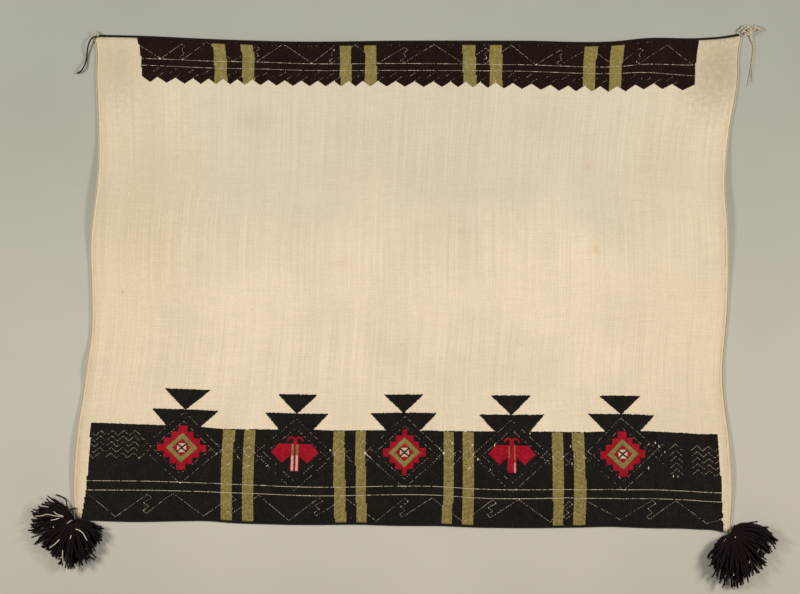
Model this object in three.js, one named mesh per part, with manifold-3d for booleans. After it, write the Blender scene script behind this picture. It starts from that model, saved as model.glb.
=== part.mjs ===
// A ceremonial manta: a white cotton cloth, embroidered in wool along its top and bottom edges, with
// twined edge cords, a yarn tassel at each lower corner and a knot of string at the upper right one.
// It lies flat, face up. Millimetres, +Z up. The origin is the middle of the cloth, on the surface.

import * as THREE from 'three';
import { mergeVertices } from 'three/addons/utils/BufferGeometryUtils.js';
import Module from 'manifold-3d';

const wasm = await Module();
wasm.setup();

// Driving sizes of the cloth as it was woven, and how near its fitted pieces come to it
const CLOTH_WIDTH = 1430;
const CLOTH_HEIGHT = 1080;
const CLOTH_THICKNESS = 1.5;
const STITCH_THICKNESS = 0.9;
const SEAT_GAP = 0.3;

// How far each laid edge lies outside a plain rectangle of the woven size. `at` runs along the edge,
// from the left corner or from the bottom one.
const TOP_EDGE = [
  { at: 0, out: 7 }, { at: 94, out: 2 }, { at: 272, out: -6 }, { at: 451, out: -11 },
  { at: 675, out: -9 }, { at: 942, out: -9 }, { at: 1166, out: -9 }, { at: 1211, out: -4 },
  { at: 1345, out: -2 }, { at: 1430, out: 9 },
];
const BOTTOM_EDGE = [
  { at: 0, out: -16 }, { at: 272, out: -16 }, { at: 360, out: -11 }, { at: 491, out: -5 },
  { at: 797, out: -6 }, { at: 885, out: 0 }, { at: 1104, out: 2 }, { at: 1190, out: -2 },
  { at: 1322, out: 0 }, { at: 1430, out: 12 },
];
const LEFT_EDGE = [
  { at: 0, out: 6 }, { at: 60, out: 8 }, { at: 190, out: 0 }, { at: 280, out: -13 },
  { at: 415, out: -31 }, { at: 630, out: -31 }, { at: 770, out: -47 }, { at: 940, out: -45 },
  { at: 990, out: -40 }, { at: 1080, out: -45 },
];
const RIGHT_EDGE = [
  { at: 0, out: 16 }, { at: 60, out: 20 }, { at: 190, out: 15 }, { at: 325, out: 0 },
  { at: 500, out: 11 }, { at: 634, out: 11 }, { at: 770, out: 4 }, { at: 850, out: 11 },
  { at: 989, out: 33 }, { at: 1080, out: 35 },
];

// Where a side edge stands off the surface: `up` is the middle of the lifted stretch, `half` is half
// its length, and the lift dies away `reach` into the cloth.
const EDGE_LIFTS = [
  { side: 'left', up: 720, half: 170, height: 8, reach: 70 },
  { side: 'left', up: 150, half: 150, height: 4, reach: 14 },
  { side: 'left', up: 345, half: 60, height: 4, reach: 60 },
  { side: 'right', up: 690, half: 210, height: 7, reach: 60 },
  { side: 'right', up: 140, half: 120, height: 3, reach: 10 },
];

// The lines of the cloth's grid, close together only where it lifts or its edge turns
const CLOTH_COLUMNS = [
  0, 7, 14, 28, 46, 70, 94, 183, 272, 360, 451, 580, 675, 797, 885, 1030, 1104, 1190, 1265, 1345, 1370,
  1390, 1408, 1420, 1430,
];
const CLOTH_ROWS = [
  0, 60, 115, 165, 190, 280, 318, 345, 378, 415, 500, 560, 634, 690, 770, 830, 890, 940, 989, 1035, 1080,
];

// Reads a table's column between its rows
function between(table, along, column, at) {
  const next = table.findIndex((row) => row[along] >= at);
  if (next <= 0) return table[next === 0 ? 0 : table.length - 1][column];
  const [low, high] = [table[next - 1], table[next]];
  const share = (at - low[along]) / (high[along] - low[along]);
  return THREE.MathUtils.lerp(low[column], high[column], share);
}

const outside = (edge, at) => between(edge, 'at', 'out', at);

// Where a point of the woven cloth lies: `across` from its left edge and `up` from its bottom edge.
// The four laid edges are blended over the cloth, so the embroidery leans and bows as they do.
function lay(across, up) {
  const left = -CLOTH_WIDTH / 2 - outside(LEFT_EDGE, up);
  const right = CLOTH_WIDTH / 2 + outside(RIGHT_EDGE, up);
  const bottom = -CLOTH_HEIGHT / 2 - outside(BOTTOM_EDGE, across);
  const top = CLOTH_HEIGHT / 2 + outside(TOP_EDGE, across);
  return new THREE.Vector2(
    THREE.MathUtils.lerp(left, right, across / CLOTH_WIDTH),
    THREE.MathUtils.lerp(bottom, top, up / CLOTH_HEIGHT));
}

// How high the underside of the cloth stands over the surface
function liftAt(across, up) {
  let height = 0;
  for (const lift of EDGE_LIFTS) {
    const inward = lift.side === 'left' ? across : CLOTH_WIDTH - across;
    const along = Math.abs(up - lift.up) / lift.half;
    if (inward >= lift.reach || along >= 1) continue;
    height += lift.height * (1 - inward / lift.reach) ** 2 * Math.cos(along * Math.PI / 2) ** 2;
  }
  return height;
}

// A closed sheet over the grid: an upper face, an under face and a wall round them
function wovenCloth() {
  const wide = CLOTH_COLUMNS.length;
  const tall = CLOTH_ROWS.length;
  const places = [];
  for (const thickness of [0, CLOTH_THICKNESS]) {
    for (const up of CLOTH_ROWS) {
      for (const across of CLOTH_COLUMNS) {
        const { x, y } = lay(across, up);
        places.push(x, y, liftAt(across, up) + thickness);
      }
    }
  }
  const under = (column, row) => row * wide + column;
  const upper = (column, row) => wide * tall + under(column, row);
  const faces = [];
  const quad = (a, b, c, d) => faces.push(a, b, c, a, c, d);
  for (let row = 0; row < tall - 1; row++) {
    for (let column = 0; column < wide - 1; column++) {
      const ring = [[column, row], [column + 1, row], [column + 1, row + 1], [column, row + 1]];
      quad(...ring.map((cell) => upper(...cell)));
      quad(...ring.reverse().map((cell) => under(...cell)));
    }
  }
  const wall = (from, to) => quad(under(...from), under(...to), upper(...to), upper(...from));
  for (let column = 0; column < wide - 1; column++) {
    wall([column, 0], [column + 1, 0]);
    wall([column + 1, tall - 1], [column, tall - 1]);
  }
  for (let row = 0; row < tall - 1; row++) {
    wall([wide - 1, row], [wide - 1, row + 1]);
    wall([0, row + 1], [0, row]);
  }
  const geometry = new THREE.BufferGeometry();
  geometry.setAttribute('position', new THREE.Float32BufferAttribute(places, 3));
  geometry.setIndex(faces);
  return geometry;
}

// A bar of one section along a route: each section stands square to the route in plan. `ring` is the
// section, counter-clockwise as seen from the route's start, as steps to the right and upwards.
function barAlong(route, ring) {
  const places = [];
  route.forEach((point, index) => {
    const before = route[Math.max(index - 1, 0)];
    const after = route[Math.min(index + 1, route.length - 1)];
    const along = new THREE.Vector2(after.x - before.x, after.y - before.y).normalize();
    for (const { right, rise } of ring) {
      places.push(point.x + along.y * right, point.y - along.x * right, point.z + rise);
    }
  });
  const sides = ring.length;
  const faces = [];
  for (let step = 0; step < route.length - 1; step++) {
    for (let side = 0; side < sides; side++) {
      const [a, b] = [step * sides + side, step * sides + (side + 1) % sides];
      faces.push(a, b + sides, b, a, a + sides, b + sides);
    }
  }
  const last = (route.length - 1) * sides;
  for (let side = 1; side < sides - 1; side++) {
    faces.push(0, side, side + 1, last, last + side + 1, last + side);
  }
  const geometry = new THREE.BufferGeometry();
  geometry.setAttribute('position', new THREE.Float32BufferAttribute(places, 3));
  geometry.setIndex(faces);
  return geometry;
}

// A round section, with flats below and above so that it rests level
function roundRing(diameter, sides) {
  const reach = diameter / 2 / Math.cos(Math.PI / sides);
  return Array.from({ length: sides }, (_, side) => {
    const turn = (side + 0.5) / sides * Math.PI * 2 - Math.PI / 2;
    return { right: reach * Math.cos(turn), rise: reach * Math.sin(turn) };
  });
}

// A yarn's section: three sides, one of them flat below
function yarnRing(thickness) {
  const half = thickness / 2;
  return [{ right: -half, rise: -half }, { right: half, rise: -half }, { right: 0, rise: half }];
}

// Edge cords: each lies on the surface, along one edge and just outside it
const EDGE_CORD_SIDES = 8;
const DARK_CORD = 4;
const BLACK_CORD = 3.5;
const COTTON_CORD = 3;

function edgeCord(stations, diameter, outward) {
  const away = diameter / 2 + SEAT_GAP;
  const route = stations.map(([across, up]) => {
    const { x, y } = lay(across, up);
    const z = liftAt(across, up) + diameter / 2;
    return new THREE.Vector3(x + outward.x * away, y + outward.y * away, z);
  });
  return barAlong(route, roundRing(diameter, EDGE_CORD_SIDES));
}

const topCord = () => edgeCord(
  CLOTH_COLUMNS.map((across) => [across, CLOTH_HEIGHT]), DARK_CORD, { x: 0, y: 1 });
const bottomCord = () => edgeCord(
  CLOTH_COLUMNS.map((across) => [across, 0]), BLACK_CORD, { x: 0, y: -1 });
const leftCord = () => edgeCord(CLOTH_ROWS.map((up) => [0, up]), COTTON_CORD, { x: -1, y: 0 });
const rightCord = () => edgeCord(
  CLOTH_ROWS.map((up) => [CLOTH_WIDTH, up]), COTTON_CORD, { x: 1, y: 0 });

// The top cord's loose end: it leaves the upper left corner and lies beside the cloth
const LOOSE_CORD = 3.5;
const LOOSE_CORD_SIDES = 8;
const LOOSE_CORD_STEPS = 16;
const LOOSE_CORD_ROUTE = [
  [-670.7, 549.5, 2.0], [-675.1, 549.2, 2.3], [-679.4, 547.5, 2.8], [-683.1, 543.9, 3.2],
  [-686.2, 538.2, 3.6], [-688.9, 532.2, 3.8], [-691.1, 525.2, 3.7], [-692.8, 517.8, 3.3],
  [-694.0, 510.0, 2.8], [-695.0, 502.2, 2.3], [-696.1, 494.4, 2.0], [-697.7, 486.8, 2.0],
  [-700.1, 479.6, 2.2], [-703.3, 473.0, 2.4], [-707.3, 467.8, 2.3], [-712.0, 464.4, 2.0],
  [-717.4, 462.8, 1.9],
];

function looseCord() {
  const path = new THREE.CatmullRomCurve3(LOOSE_CORD_ROUTE.map((point) => new THREE.Vector3(...point)));
  const section = new THREE.Shape(
    roundRing(LOOSE_CORD, LOOSE_CORD_SIDES).map(({ right, rise }) => new THREE.Vector2(right, rise)));
  return new THREE.ExtrudeGeometry(section, {
    extrudePath: path, steps: LOOSE_CORD_STEPS, bevelEnabled: false,
  });
}

// Solids for joining and cutting
function solidOf(geometry) {
  const bare = geometry.clone();
  bare.deleteAttribute('normal');
  bare.deleteAttribute('uv');
  const merged = mergeVertices(bare, 1e-4);
  return new wasm.Manifold(new wasm.Mesh({
    numProp: 3,
    vertProperties: new Float32Array(merged.attributes.position.array),
    triVerts: new Uint32Array(merged.index.array),
  }));
}

function geometryOf(solid) {
  const { vertProperties, triVerts } = solid.getMesh();
  const geometry = new THREE.BufferGeometry();
  geometry.setAttribute('position', new THREE.BufferAttribute(vertProperties, 3));
  geometry.setIndex(new THREE.BufferAttribute(triVerts, 1));
  return geometry;
}

// Joins parts that all run into one core, and fills any space shut in between them
function fused(parts) {
  const skins = wasm.Manifold.union(parts).decompose();
  return skins.reduce((outer, skin) => (skin.volume() > outer.volume() ? skin : outer));
}

// A counter-clockwise outline moved outwards all round
function grown(outline, distance) {
  return outline.map((point, index) => {
    const before = outline[(index + outline.length - 1) % outline.length];
    const after = outline[(index + 1) % outline.length];
    const into = point.clone().sub(before).normalize();
    const outOf = after.clone().sub(point).normalize();
    const normals = new THREE.Vector2(into.y + outOf.y, -into.x - outOf.x);
    return point.clone().addScaledVector(normals, distance / (1 + into.dot(outOf)));
  });
}

// A slab with an outline that is drawn on the woven cloth and laid with it
const LONGEST_SIDE = 75;

function laidSlab(outline, low, high) {
  const laid = [];
  outline.forEach((point, index) => {
    const next = outline[(index + 1) % outline.length];
    const pieces = Math.ceil(point.distanceTo(next) / LONGEST_SIDE);
    for (let piece = 0; piece < pieces; piece++) {
      const place = point.clone().lerp(next, piece / pieces);
      laid.push(lay(place.x, place.y));
    }
  });
  const slab = new THREE.ExtrudeGeometry(new THREE.Shape(laid), { depth: high - low, bevelEnabled: false });
  return solidOf(slab.translate(0, 0, low));
}

const stitched = (outline) => laidSlab(outline, 0, STITCH_THICKNESS);
const cutter = (outline) => laidSlab(outline, -1, STITCH_THICKNESS + 1);

// Bars of green wool that cross a band from end to end, by the middle of each end and its width
const BOTTOM_BARS = [
  { high: 332, low: 330, wide: 25 }, { high: 377, low: 377, wide: 23 },
  { high: 573, low: 580, wide: 25 }, { high: 620, low: 626, wide: 22 },
  { high: 815, low: 813, wide: 22 }, { high: 858, low: 857, wide: 24 },
  { high: 1053, low: 1055, wide: 24 }, { high: 1099, low: 1102, wide: 26 },
];
const TOP_BARS = [
  { high: 272, low: 279, wide: 28 }, { high: 335, low: 340, wide: 27 },
  { high: 554, low: 556, wide: 25 }, { high: 609, low: 613, wide: 26 },
  { high: 828, low: 835, wide: 29 }, { high: 888, low: 893, wide: 28 },
  { high: 1100, low: 1098, wide: 28 }, { high: 1159, low: 1157, wide: 28 },
];

const points = (pairs) => pairs.map(([across, up]) => new THREE.Vector2(across, up));

function barOutline(bar, low, high) {
  const half = bar.wide / 2;
  return points([
    [bar.low - half, low], [bar.low + half, low], [bar.high + half, high], [bar.high - half, high],
  ]);
}

// Splits a band into its ground and its inlays, which keep a gap to the ground all round
function inlaid(band, outlines) {
  const inlays = outlines.map((outline) => band.intersect(cutter(outline)));
  const ground = outlines.reduce((left, outline) => left.subtract(cutter(grown(outline, SEAT_GAP))), band);
  return { ground, inlays };
}

// The bottom band, with a stepped cloud of two black shapes standing on it over each motif
const BOTTOM_BAND = { lowLeft: 15, lowRight: 1419, highLeft: 27, highRight: 1409, low: 4, high: 209 };
const BOTTOM_BARS_START = 9;
const CLOUDS = [
  { middle: 230, neck: 36, brim: 73, crown: 51 }, { middle: 478, neck: 35, brim: 70, crown: 44 },
  { middle: 716, neck: 37, brim: 73, crown: 44 }, { middle: 954, neck: 35, brim: 73, crown: 45 },
  { middle: 1197, neck: 36, brim: 73, crown: 46 },
];
const CLOUD_BRIM_UP = 247;
const CLOUD_CROWN_UP = 290;
const CLOUD_TOUCH = 2;

function bottomBand() {
  const band = BOTTOM_BAND;
  const outline = [[band.lowLeft, band.low], [band.lowRight, band.low], [band.highRight, band.high]];
  for (const { middle, neck, brim, crown } of CLOUDS.toReversed()) {
    outline.push(
      [middle + neck, band.high], [middle + brim, CLOUD_BRIM_UP],
      [middle + CLOUD_TOUCH, CLOUD_BRIM_UP], [middle + crown, CLOUD_CROWN_UP],
      [middle - crown, CLOUD_CROWN_UP], [middle - CLOUD_TOUCH, CLOUD_BRIM_UP],
      [middle - brim, CLOUD_BRIM_UP], [middle - neck, band.high],
    );
  }
  outline.push([band.highLeft, band.high]);
  return stitched(points(outline));
}

// Motifs of the bottom band, drawn about their own middles by their right side, from the top down
const DIAMOND_STEPS = [
  { half: 10, top: 50 }, { half: 24, top: 36 }, { half: 38, top: 22 }, { half: 55, top: 8 },
];
const BUTTERFLY_SIDE = [
  { side: 5, up: 36 }, { side: 9, up: 25 }, { side: 36, up: 24 }, { side: 51, up: 6 },
  { side: 28, up: -19 }, { side: 10, up: -4 }, { side: 9, up: -38 },
];

function diamondSide() {
  const upper = DIAMOND_STEPS.flatMap(({ half, top }, index) => {
    const base = DIAMOND_STEPS[index + 1]?.top ?? -top;
    return [{ side: half, up: top }, { side: half, up: base }];
  });
  const lower = upper.slice(0, -2).reverse().map(({ side, up }) => ({ side, up: -up }));
  return [...upper, ...lower];
}

const MOTIFS = [
  { name: 'diamond_left', across: 231, up: 159, outline: diamondSide(), wool: 'red' },
  { name: 'butterfly_left', across: 479, up: 154, outline: BUTTERFLY_SIDE, wool: 'red' },
  { name: 'diamond_middle', across: 718, up: 157, outline: diamondSide(), wool: 'red' },
  { name: 'butterfly_right', across: 954, up: 157, outline: BUTTERFLY_SIDE, wool: 'red' },
  { name: 'diamond_right', across: 1196, up: 157, outline: diamondSide(), wool: 'red' },
];

function motifOutline(motif) {
  const left = motif.outline.map(({ side, up }) => [motif.across - side, motif.up + up]);
  const right = motif.outline.map(({ side, up }) => [motif.across + side, motif.up + up]);
  return points([...left, ...right.reverse()]);
}

// The top band, with a sawtooth lower edge whose teeth drift a little off an even pitch
const TOP_BAND = { highLeft: 93, highRight: 1338, lowLeft: 101, lowRight: 1335, high: 1078 };
const TOP_BARS_END = 1075;
const TEETH = { first: 135, pitch: 37.1, valleys: 32, tipLeft: 980, tipRight: 968, deep: 14 };
const TOOTH_DRIFT = [
  { across: 135, drift: 0 }, { across: 210, drift: 5 }, { across: 345, drift: -10 },
  { across: 560, drift: -16 }, { across: 650, drift: -27 }, { across: 790, drift: -13 },
  { across: 930, drift: -24 }, { across: 1050, drift: -10 }, { across: 1160, drift: -12 },
  { across: 1285, drift: 0 },
];

function topBand() {
  const valleyAt = (index) => {
    const even = TEETH.first + TEETH.pitch * index;
    return even + between(TOOTH_DRIFT, 'across', 'drift', even);
  };
  const tipUp = (across) => THREE.MathUtils.mapLinear(
    across, TOP_BAND.lowLeft, TOP_BAND.lowRight, TEETH.tipLeft, TEETH.tipRight);
  const valley = (across) => [across, tipUp(across) + TEETH.deep];
  const tip = (across) => [across, tipUp(across)];
  const outline = [
    [TOP_BAND.highRight, TOP_BAND.high], [TOP_BAND.highLeft, TOP_BAND.high],
    valley(TOP_BAND.lowLeft), tip((TOP_BAND.lowLeft + TEETH.first) / 2),
  ];
  for (let index = 0; index < TEETH.valleys; index++) {
    const here = valleyAt(index);
    const next = index < TEETH.valleys - 1 ? valleyAt(index + 1) : TOP_BAND.lowRight;
    outline.push(valley(here), tip((here + next) / 2));
  }
  outline.push(valley(TOP_BAND.lowRight));
  return stitched(points(outline));
}

// A tassel: a tied head, and layers of yarn that fan out from it, swell and come down to the surface.
// `fan` gives how far the yarns reach in each direction, in degrees counter-clockwise from +X.
const YARN = 2.2;
const TASSEL_LAYERS = 6;
const YARNS_A_LAYER = 12;
const LAYER_OFFSETS = [0, 0.5, 0.25, 0.75, 0.12, 0.62];
const HEAD_PROFILE = [
  { out: 0, up: 0 }, { out: 9, up: 0 }, { out: 11.5, up: 4 }, { out: 12, up: 10 }, { out: 9, up: 15 },
  { out: 0, up: 17.5 },
];
const HEAD_SIDES = 12;
const YARN_ROOT = 5;
const YARN_STATIONS = [0, 0.33, 0.66, 1];
const LAYER_RISE = [
  { share: 0, rise: 2.5 }, { share: 0.18, rise: 3.0 }, { share: 0.42, rise: 4.1 },
  { share: 0.7, rise: 3.2 }, { share: 1, rise: 1.0 },
];
const TASSELS = [
  {
    name: 'left_tassel', x: -729.5, y: -534.8, swirl: 8, start: 136, end: 338,
    fan: [
      { angle: 136, reach: 62 }, { angle: 152, reach: 82 }, { angle: 172, reach: 92 },
      { angle: 195, reach: 95 }, { angle: 215, reach: 98 }, { angle: 235, reach: 80 },
      { angle: 250, reach: 86 }, { angle: 268, reach: 100 }, { angle: 286, reach: 106 },
      { angle: 304, reach: 92 }, { angle: 322, reach: 86 }, { angle: 338, reach: 70 },
    ],
  },
  {
    name: 'right_tassel', x: 739.7, y: -562.9, swirl: -8, start: 212, end: 398,
    fan: [
      { angle: 212, reach: 46 }, { angle: 232, reach: 76 }, { angle: 250, reach: 102 },
      { angle: 268, reach: 122 }, { angle: 285, reach: 112 }, { angle: 303, reach: 104 },
      { angle: 320, reach: 88 }, { angle: 338, reach: 98 }, { angle: 352, reach: 96 },
      { angle: 366, reach: 90 }, { angle: 382, reach: 66 }, { angle: 398, reach: 44 },
    ],
  },
];

// A repeatable unevenness between -1 and 1 for the yarn with this number
const uneven = (number) => Math.sin(number * 12.9898 + 4.1) * Math.cos(number * 7.233);

function yarnOf(tassel, layer, index) {
  const spread = tassel.end - tassel.start;
  const angle = tassel.start + spread * (index + LAYER_OFFSETS[layer]) / YARNS_A_LAYER;
  const fullReach = between(tassel.fan, 'angle', 'reach', angle);
  const length = 0.93 - 0.03 * layer + 0.07 * uneven(index * TASSEL_LAYERS + layer);
  const route = YARN_STATIONS.map((station) => {
    const reach = THREE.MathUtils.lerp(YARN_ROOT, fullReach * length, station);
    const share = reach / fullReach;
    const wave = 4 * Math.sin(THREE.MathUtils.degToRad(angle * 3)) * share;
    const turn = THREE.MathUtils.degToRad(angle + tassel.swirl * (0.5 - share) + wave);
    const rise = between(LAYER_RISE, 'share', 'rise', share);
    return new THREE.Vector3(reach * Math.cos(turn), reach * Math.sin(turn), YARN / 2 + layer * rise);
  });
  return barAlong(route, yarnRing(YARN));
}

function tasselOf(tassel) {
  const profile = HEAD_PROFILE.map(({ out, up }) => new THREE.Vector2(out, up));
  const head = new THREE.LatheGeometry(profile, HEAD_SIDES).rotateX(Math.PI / 2);
  const parts = [solidOf(head)];
  for (let layer = 0; layer < TASSEL_LAYERS; layer++) {
    for (let index = 0; index < YARNS_A_LAYER; index++) parts.push(solidOf(yarnOf(tassel, layer, index)));
  }
  return geometryOf(fused(parts));
}

// The corner knot: cotton string in a lump of two lobes, with short frayed ends and two long ones.
// The routes start inside the lump.
const STRING = 2;
const KNOT = { x: 778, y: 556 };
const KNOT_LOBES = [
  { x: 0, y: 0, long: 14, wide: 9, high: 6.5, turn: 20 },
  { x: 13, y: 6, long: 10, wide: 6.5, high: 5, turn: 35 },
];
const KNOT_STEM = [[-27.3, -4.7, 1.8], [-22, -4.7, 2.6], [-8, -1, 5]];
const KNOT_STEM_THICKNESS = 3.6;
const LONG_STRINGS = [
  [[-2, -3, 5], [0.5, -12, 3], [3, -24, 1], [5, -39, 1], [3.5, -56, 1], [1.5, -73, 1], [-2, -92, 1],
    [-6.5, -123, 1]],
  [[2, -3, 4], [5, -12, 2.5], [8, -24, 1], [9, -40, 1], [8, -58, 1], [6, -76, 1], [3, -96, 1],
    [0, -116, 1]],
];
const SHORT_ENDS = [
  { angle: 8, from: 14, length: 17, low: 2.5 }, { angle: 24, from: 15, length: 21, low: 4.8 },
  { angle: 40, from: 14, length: 17, low: 2.5 }, { angle: 62, from: 8, length: 14, low: 5 },
  { angle: 88, from: 5, length: 13, low: 2.5 }, { angle: 128, from: 5, length: 12, low: 4 },
  { angle: -20, from: 8, length: 17, low: 2.5 },
];

function cornerKnot() {
  const parts = KNOT_LOBES.map((lobe) => {
    const ball = new THREE.SphereGeometry(1, 12, 8).rotateX(Math.PI / 2);
    ball.scale(lobe.long, lobe.wide, lobe.high).rotateZ(THREE.MathUtils.degToRad(lobe.turn));
    return solidOf(ball.translate(lobe.x, lobe.y, lobe.high));
  });
  const string = (route, thickness) => solidOf(
    barAlong(route.map((point) => new THREE.Vector3(...point)), yarnRing(thickness)));
  parts.push(string(KNOT_STEM, KNOT_STEM_THICKNESS));
  for (const route of LONG_STRINGS) parts.push(string(route, STRING));
  for (const { angle, from, length, low } of SHORT_ENDS) {
    const turn = THREE.MathUtils.degToRad(angle);
    const at = (reach, height) => [reach * Math.cos(turn), reach * Math.sin(turn), height];
    const route = [at(from / 2, low + 1), at(from + length / 2, low), at(from + length, STRING / 2)];
    parts.push(string(route, STRING));
  }
  return geometryOf(fused(parts));
}

// Finishes
const finish = (color, roughness) => new THREE.MeshStandardMaterial({ color, roughness, metalness: 0 });
const cotton = () => finish(0xe0cfae, 0.95);
const darkWool = () => finish(0x24150f, 0.9);
const blackWool = () => finish(0x1c1512, 0.9);
const greenWool = () => finish(0x897a46, 0.9);
const redWool = () => finish(0x9d1025, 0.85);

function named(name, geometry, material) {
  const mesh = new THREE.Mesh(geometry, material);
  mesh.name = name;
  return mesh;
}

const manta = new THREE.Group();
manta.add(named('cloth', wovenCloth(), cotton()));

const cords = new THREE.Group();
cords.add(named('top_edge_cord', topCord(), darkWool()));
cords.add(named('bottom_edge_cord', bottomCord(), blackWool()));
cords.add(named('left_edge_cord', leftCord(), cotton()));
cords.add(named('right_edge_cord', rightCord(), cotton()));
cords.add(named('loose_cord', looseCord(), darkWool()));
manta.add(cords);

const embroidery = new THREE.Group();
embroidery.position.z = CLOTH_THICKNESS + SEAT_GAP;

const bottomBars = BOTTOM_BARS.map((bar, index) => ({
  name: `bottom_bar_${index + 1}`,
  outline: barOutline(bar, BOTTOM_BARS_START, CLOUD_BRIM_UP),
  wool: 'green',
}));
const motifs = MOTIFS.map((motif) => ({ ...motif, outline: motifOutline(motif) }));
const topBars = TOP_BARS.map((bar, index) => ({
  name: `top_bar_${index + 1}`,
  outline: barOutline(bar, TEETH.tipRight - TEETH.deep, TOP_BARS_END),
  wool: 'green',
}));
for (const band of [
  { name: 'bottom_band', solid: bottomBand(), wool: blackWool(), inlays: [...bottomBars, ...motifs] },
  { name: 'top_band', solid: topBand(), wool: darkWool(), inlays: topBars },
]) {
  const { ground, inlays } = inlaid(band.solid, band.inlays.map((inlay) => inlay.outline));
  embroidery.add(named(band.name, geometryOf(ground), band.wool));
  inlays.forEach((inlay, index) => {
    const { name, wool } = band.inlays[index];
    embroidery.add(named(name, geometryOf(inlay), wool === 'red' ? redWool() : greenWool()));
  });
}
manta.add(embroidery);

for (const tassel of TASSELS) {
  const mesh = named(tassel.name, tasselOf(tassel), darkWool());
  mesh.position.set(tassel.x, tassel.y, 0);
  manta.add(mesh);
}

const knot = named('corner_knot', cornerKnot(), cotton());
knot.position.set(KNOT.x, KNOT.y, 0);
manta.add(knot);

export default manta;
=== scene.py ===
import math

import bpy
import numpy as np
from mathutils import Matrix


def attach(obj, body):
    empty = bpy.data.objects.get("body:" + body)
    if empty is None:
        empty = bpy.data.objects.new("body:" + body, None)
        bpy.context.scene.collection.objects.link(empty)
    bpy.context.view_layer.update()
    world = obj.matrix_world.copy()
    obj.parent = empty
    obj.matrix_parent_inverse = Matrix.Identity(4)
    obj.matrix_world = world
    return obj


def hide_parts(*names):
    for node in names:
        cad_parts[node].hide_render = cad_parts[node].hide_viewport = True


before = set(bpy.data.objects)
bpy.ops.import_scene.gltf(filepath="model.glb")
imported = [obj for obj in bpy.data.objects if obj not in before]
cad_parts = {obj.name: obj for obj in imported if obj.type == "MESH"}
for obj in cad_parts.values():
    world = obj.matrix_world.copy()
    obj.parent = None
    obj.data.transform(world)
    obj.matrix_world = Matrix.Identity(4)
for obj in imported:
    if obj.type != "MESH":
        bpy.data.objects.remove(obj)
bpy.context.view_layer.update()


# The view. The manta lies face up on a pale surface and is seen from straight above through a long
# lens. Two large soft lights stand at its sides, a little above it, under an even pale dome.
VIEW_WIDTH = 1.776
VIEW_MIDDLE = (0.0, -0.033)
LENS = 100
SENSOR = 36
DOME_COLOUR = (1.0, 0.99, 0.97, 1.0)
DOME_STRENGTH = 0.20
LIGHT_POWER = 105
LIGHT_SIZE = (0.8, 1.05)
LIGHT_ASIDE = 3.0
LIGHT_AHEAD = 0.5
LIGHT_HEIGHT = 2.0


def placed(name, data):
    """An object for some data, in the scene."""
    made = bpy.data.objects.new(name, data)
    bpy.context.scene.collection.objects.link(made)
    return made


camera = placed("camera", bpy.data.cameras.new("camera"))
camera.data.lens = LENS
camera.data.sensor_width = SENSOR
camera.location = (*VIEW_MIDDLE, VIEW_WIDTH * LENS / SENSOR)
bpy.context.scene.camera = camera
bpy.context.scene.view_settings.view_transform = "Standard"


def paint(red, green, blue):
    """A colour from its eight-bit screen values, as linear light."""
    def linear(value):
        share = value / 255
        return share / 12.92 if share < 0.04045 else ((share + 0.055) / 1.055) ** 2.4
    return (linear(red), linear(green), linear(blue), 1.0)


def connect(tree, made, inputs):
    """Links each input of a node, by its name or number, to a socket, or gives it a value."""
    for socket, value in dict(inputs).items():
        if isinstance(value, bpy.types.NodeSocket):
            tree.links.new(value, made.inputs[socket])
        else:
            made.inputs[socket].default_value = value


def node(tree, kind, inputs=(), **settings):
    """The outputs of a new node."""
    made = tree.nodes.new(kind)
    for setting, value in settings.items():
        setattr(made, setting, value)
    connect(tree, made, inputs)
    return made.outputs


def number_node(tree, operation, *values):
    """The result of a sum, product or other operation on numbers."""
    return node(tree, "ShaderNodeMath", dict(enumerate(values)), operation=operation)[0]


def product(tree, one, other):
    """Two numbers multiplied."""
    return number_node(tree, "MULTIPLY", one, other)


def vector_node(tree, operation, *vectors):
    """The result of an operation on vectors."""
    return node(tree, "ShaderNodeVectorMath", dict(enumerate(vectors)), operation=operation)[0]


def scaled(tree, vector, factor):
    """A vector or a colour times a number."""
    return node(tree, "ShaderNodeVectorMath", {0: vector, "Scale": factor}, operation="SCALE")[0]


def length_of(tree, vector):
    """The length of a vector."""
    return node(tree, "ShaderNodeVectorMath", {0: vector}, operation="LENGTH")["Value"]


def mix(tree, factor, one, other):
    """Two colours mixed by a factor."""
    return node(tree, "ShaderNodeMix", {0: factor, 6: one, 7: other}, data_type="RGBA")[2]


def noise(tree, vector, scale, detail=2.0):
    """A noise texture's value, about 0.5 in the middle."""
    return node(tree, "ShaderNodeTexNoise", {"Vector": vector, "Scale": scale, "Detail": detail})[0]


def ranged(tree, value, low, high, to_low=0.0, to_high=1.0, smooth=True):
    """A value carried from one range to another, and held at its ends."""
    kind = "SMOOTHSTEP" if smooth else "LINEAR"
    inputs = {0: value, 1: low, 2: high, 3: to_low, 4: to_high}
    return node(tree, "ShaderNodeMapRange", inputs, interpolation_type=kind)[0]


def new_material(name):
    """A material and its tree, with a shader that is still plain."""
    made = bpy.data.materials.new(name)
    made.use_nodes = True
    return made, made.node_tree


def finish(tree, inputs):
    """Links the inputs of a material's shader to sockets, or gives them a value."""
    connect(tree, tree.nodes["Principled BSDF"], inputs)


# The floor carries painted light: it is painted paler towards the foot of the view and dimmer away from the
# cloth, as a painted vignette, and it is a little mottled.
FLOOR_SIZE = 9.0
FLOOR_TOP = paint(166, 164, 151)
FLOOR_BOTTOM = paint(197, 190, 174)
FLOOR_SHADED_TO = 0.55
FLOOR_MOTTLE = 0.02
FLOOR_LIT = 1.03
FLOOR_DIMMED = 0.86
LIT_TO = 0.35
DIMMED_FROM = 1.0
LIT_SHAPE = (1.0, 0.65, 1.0)

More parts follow.
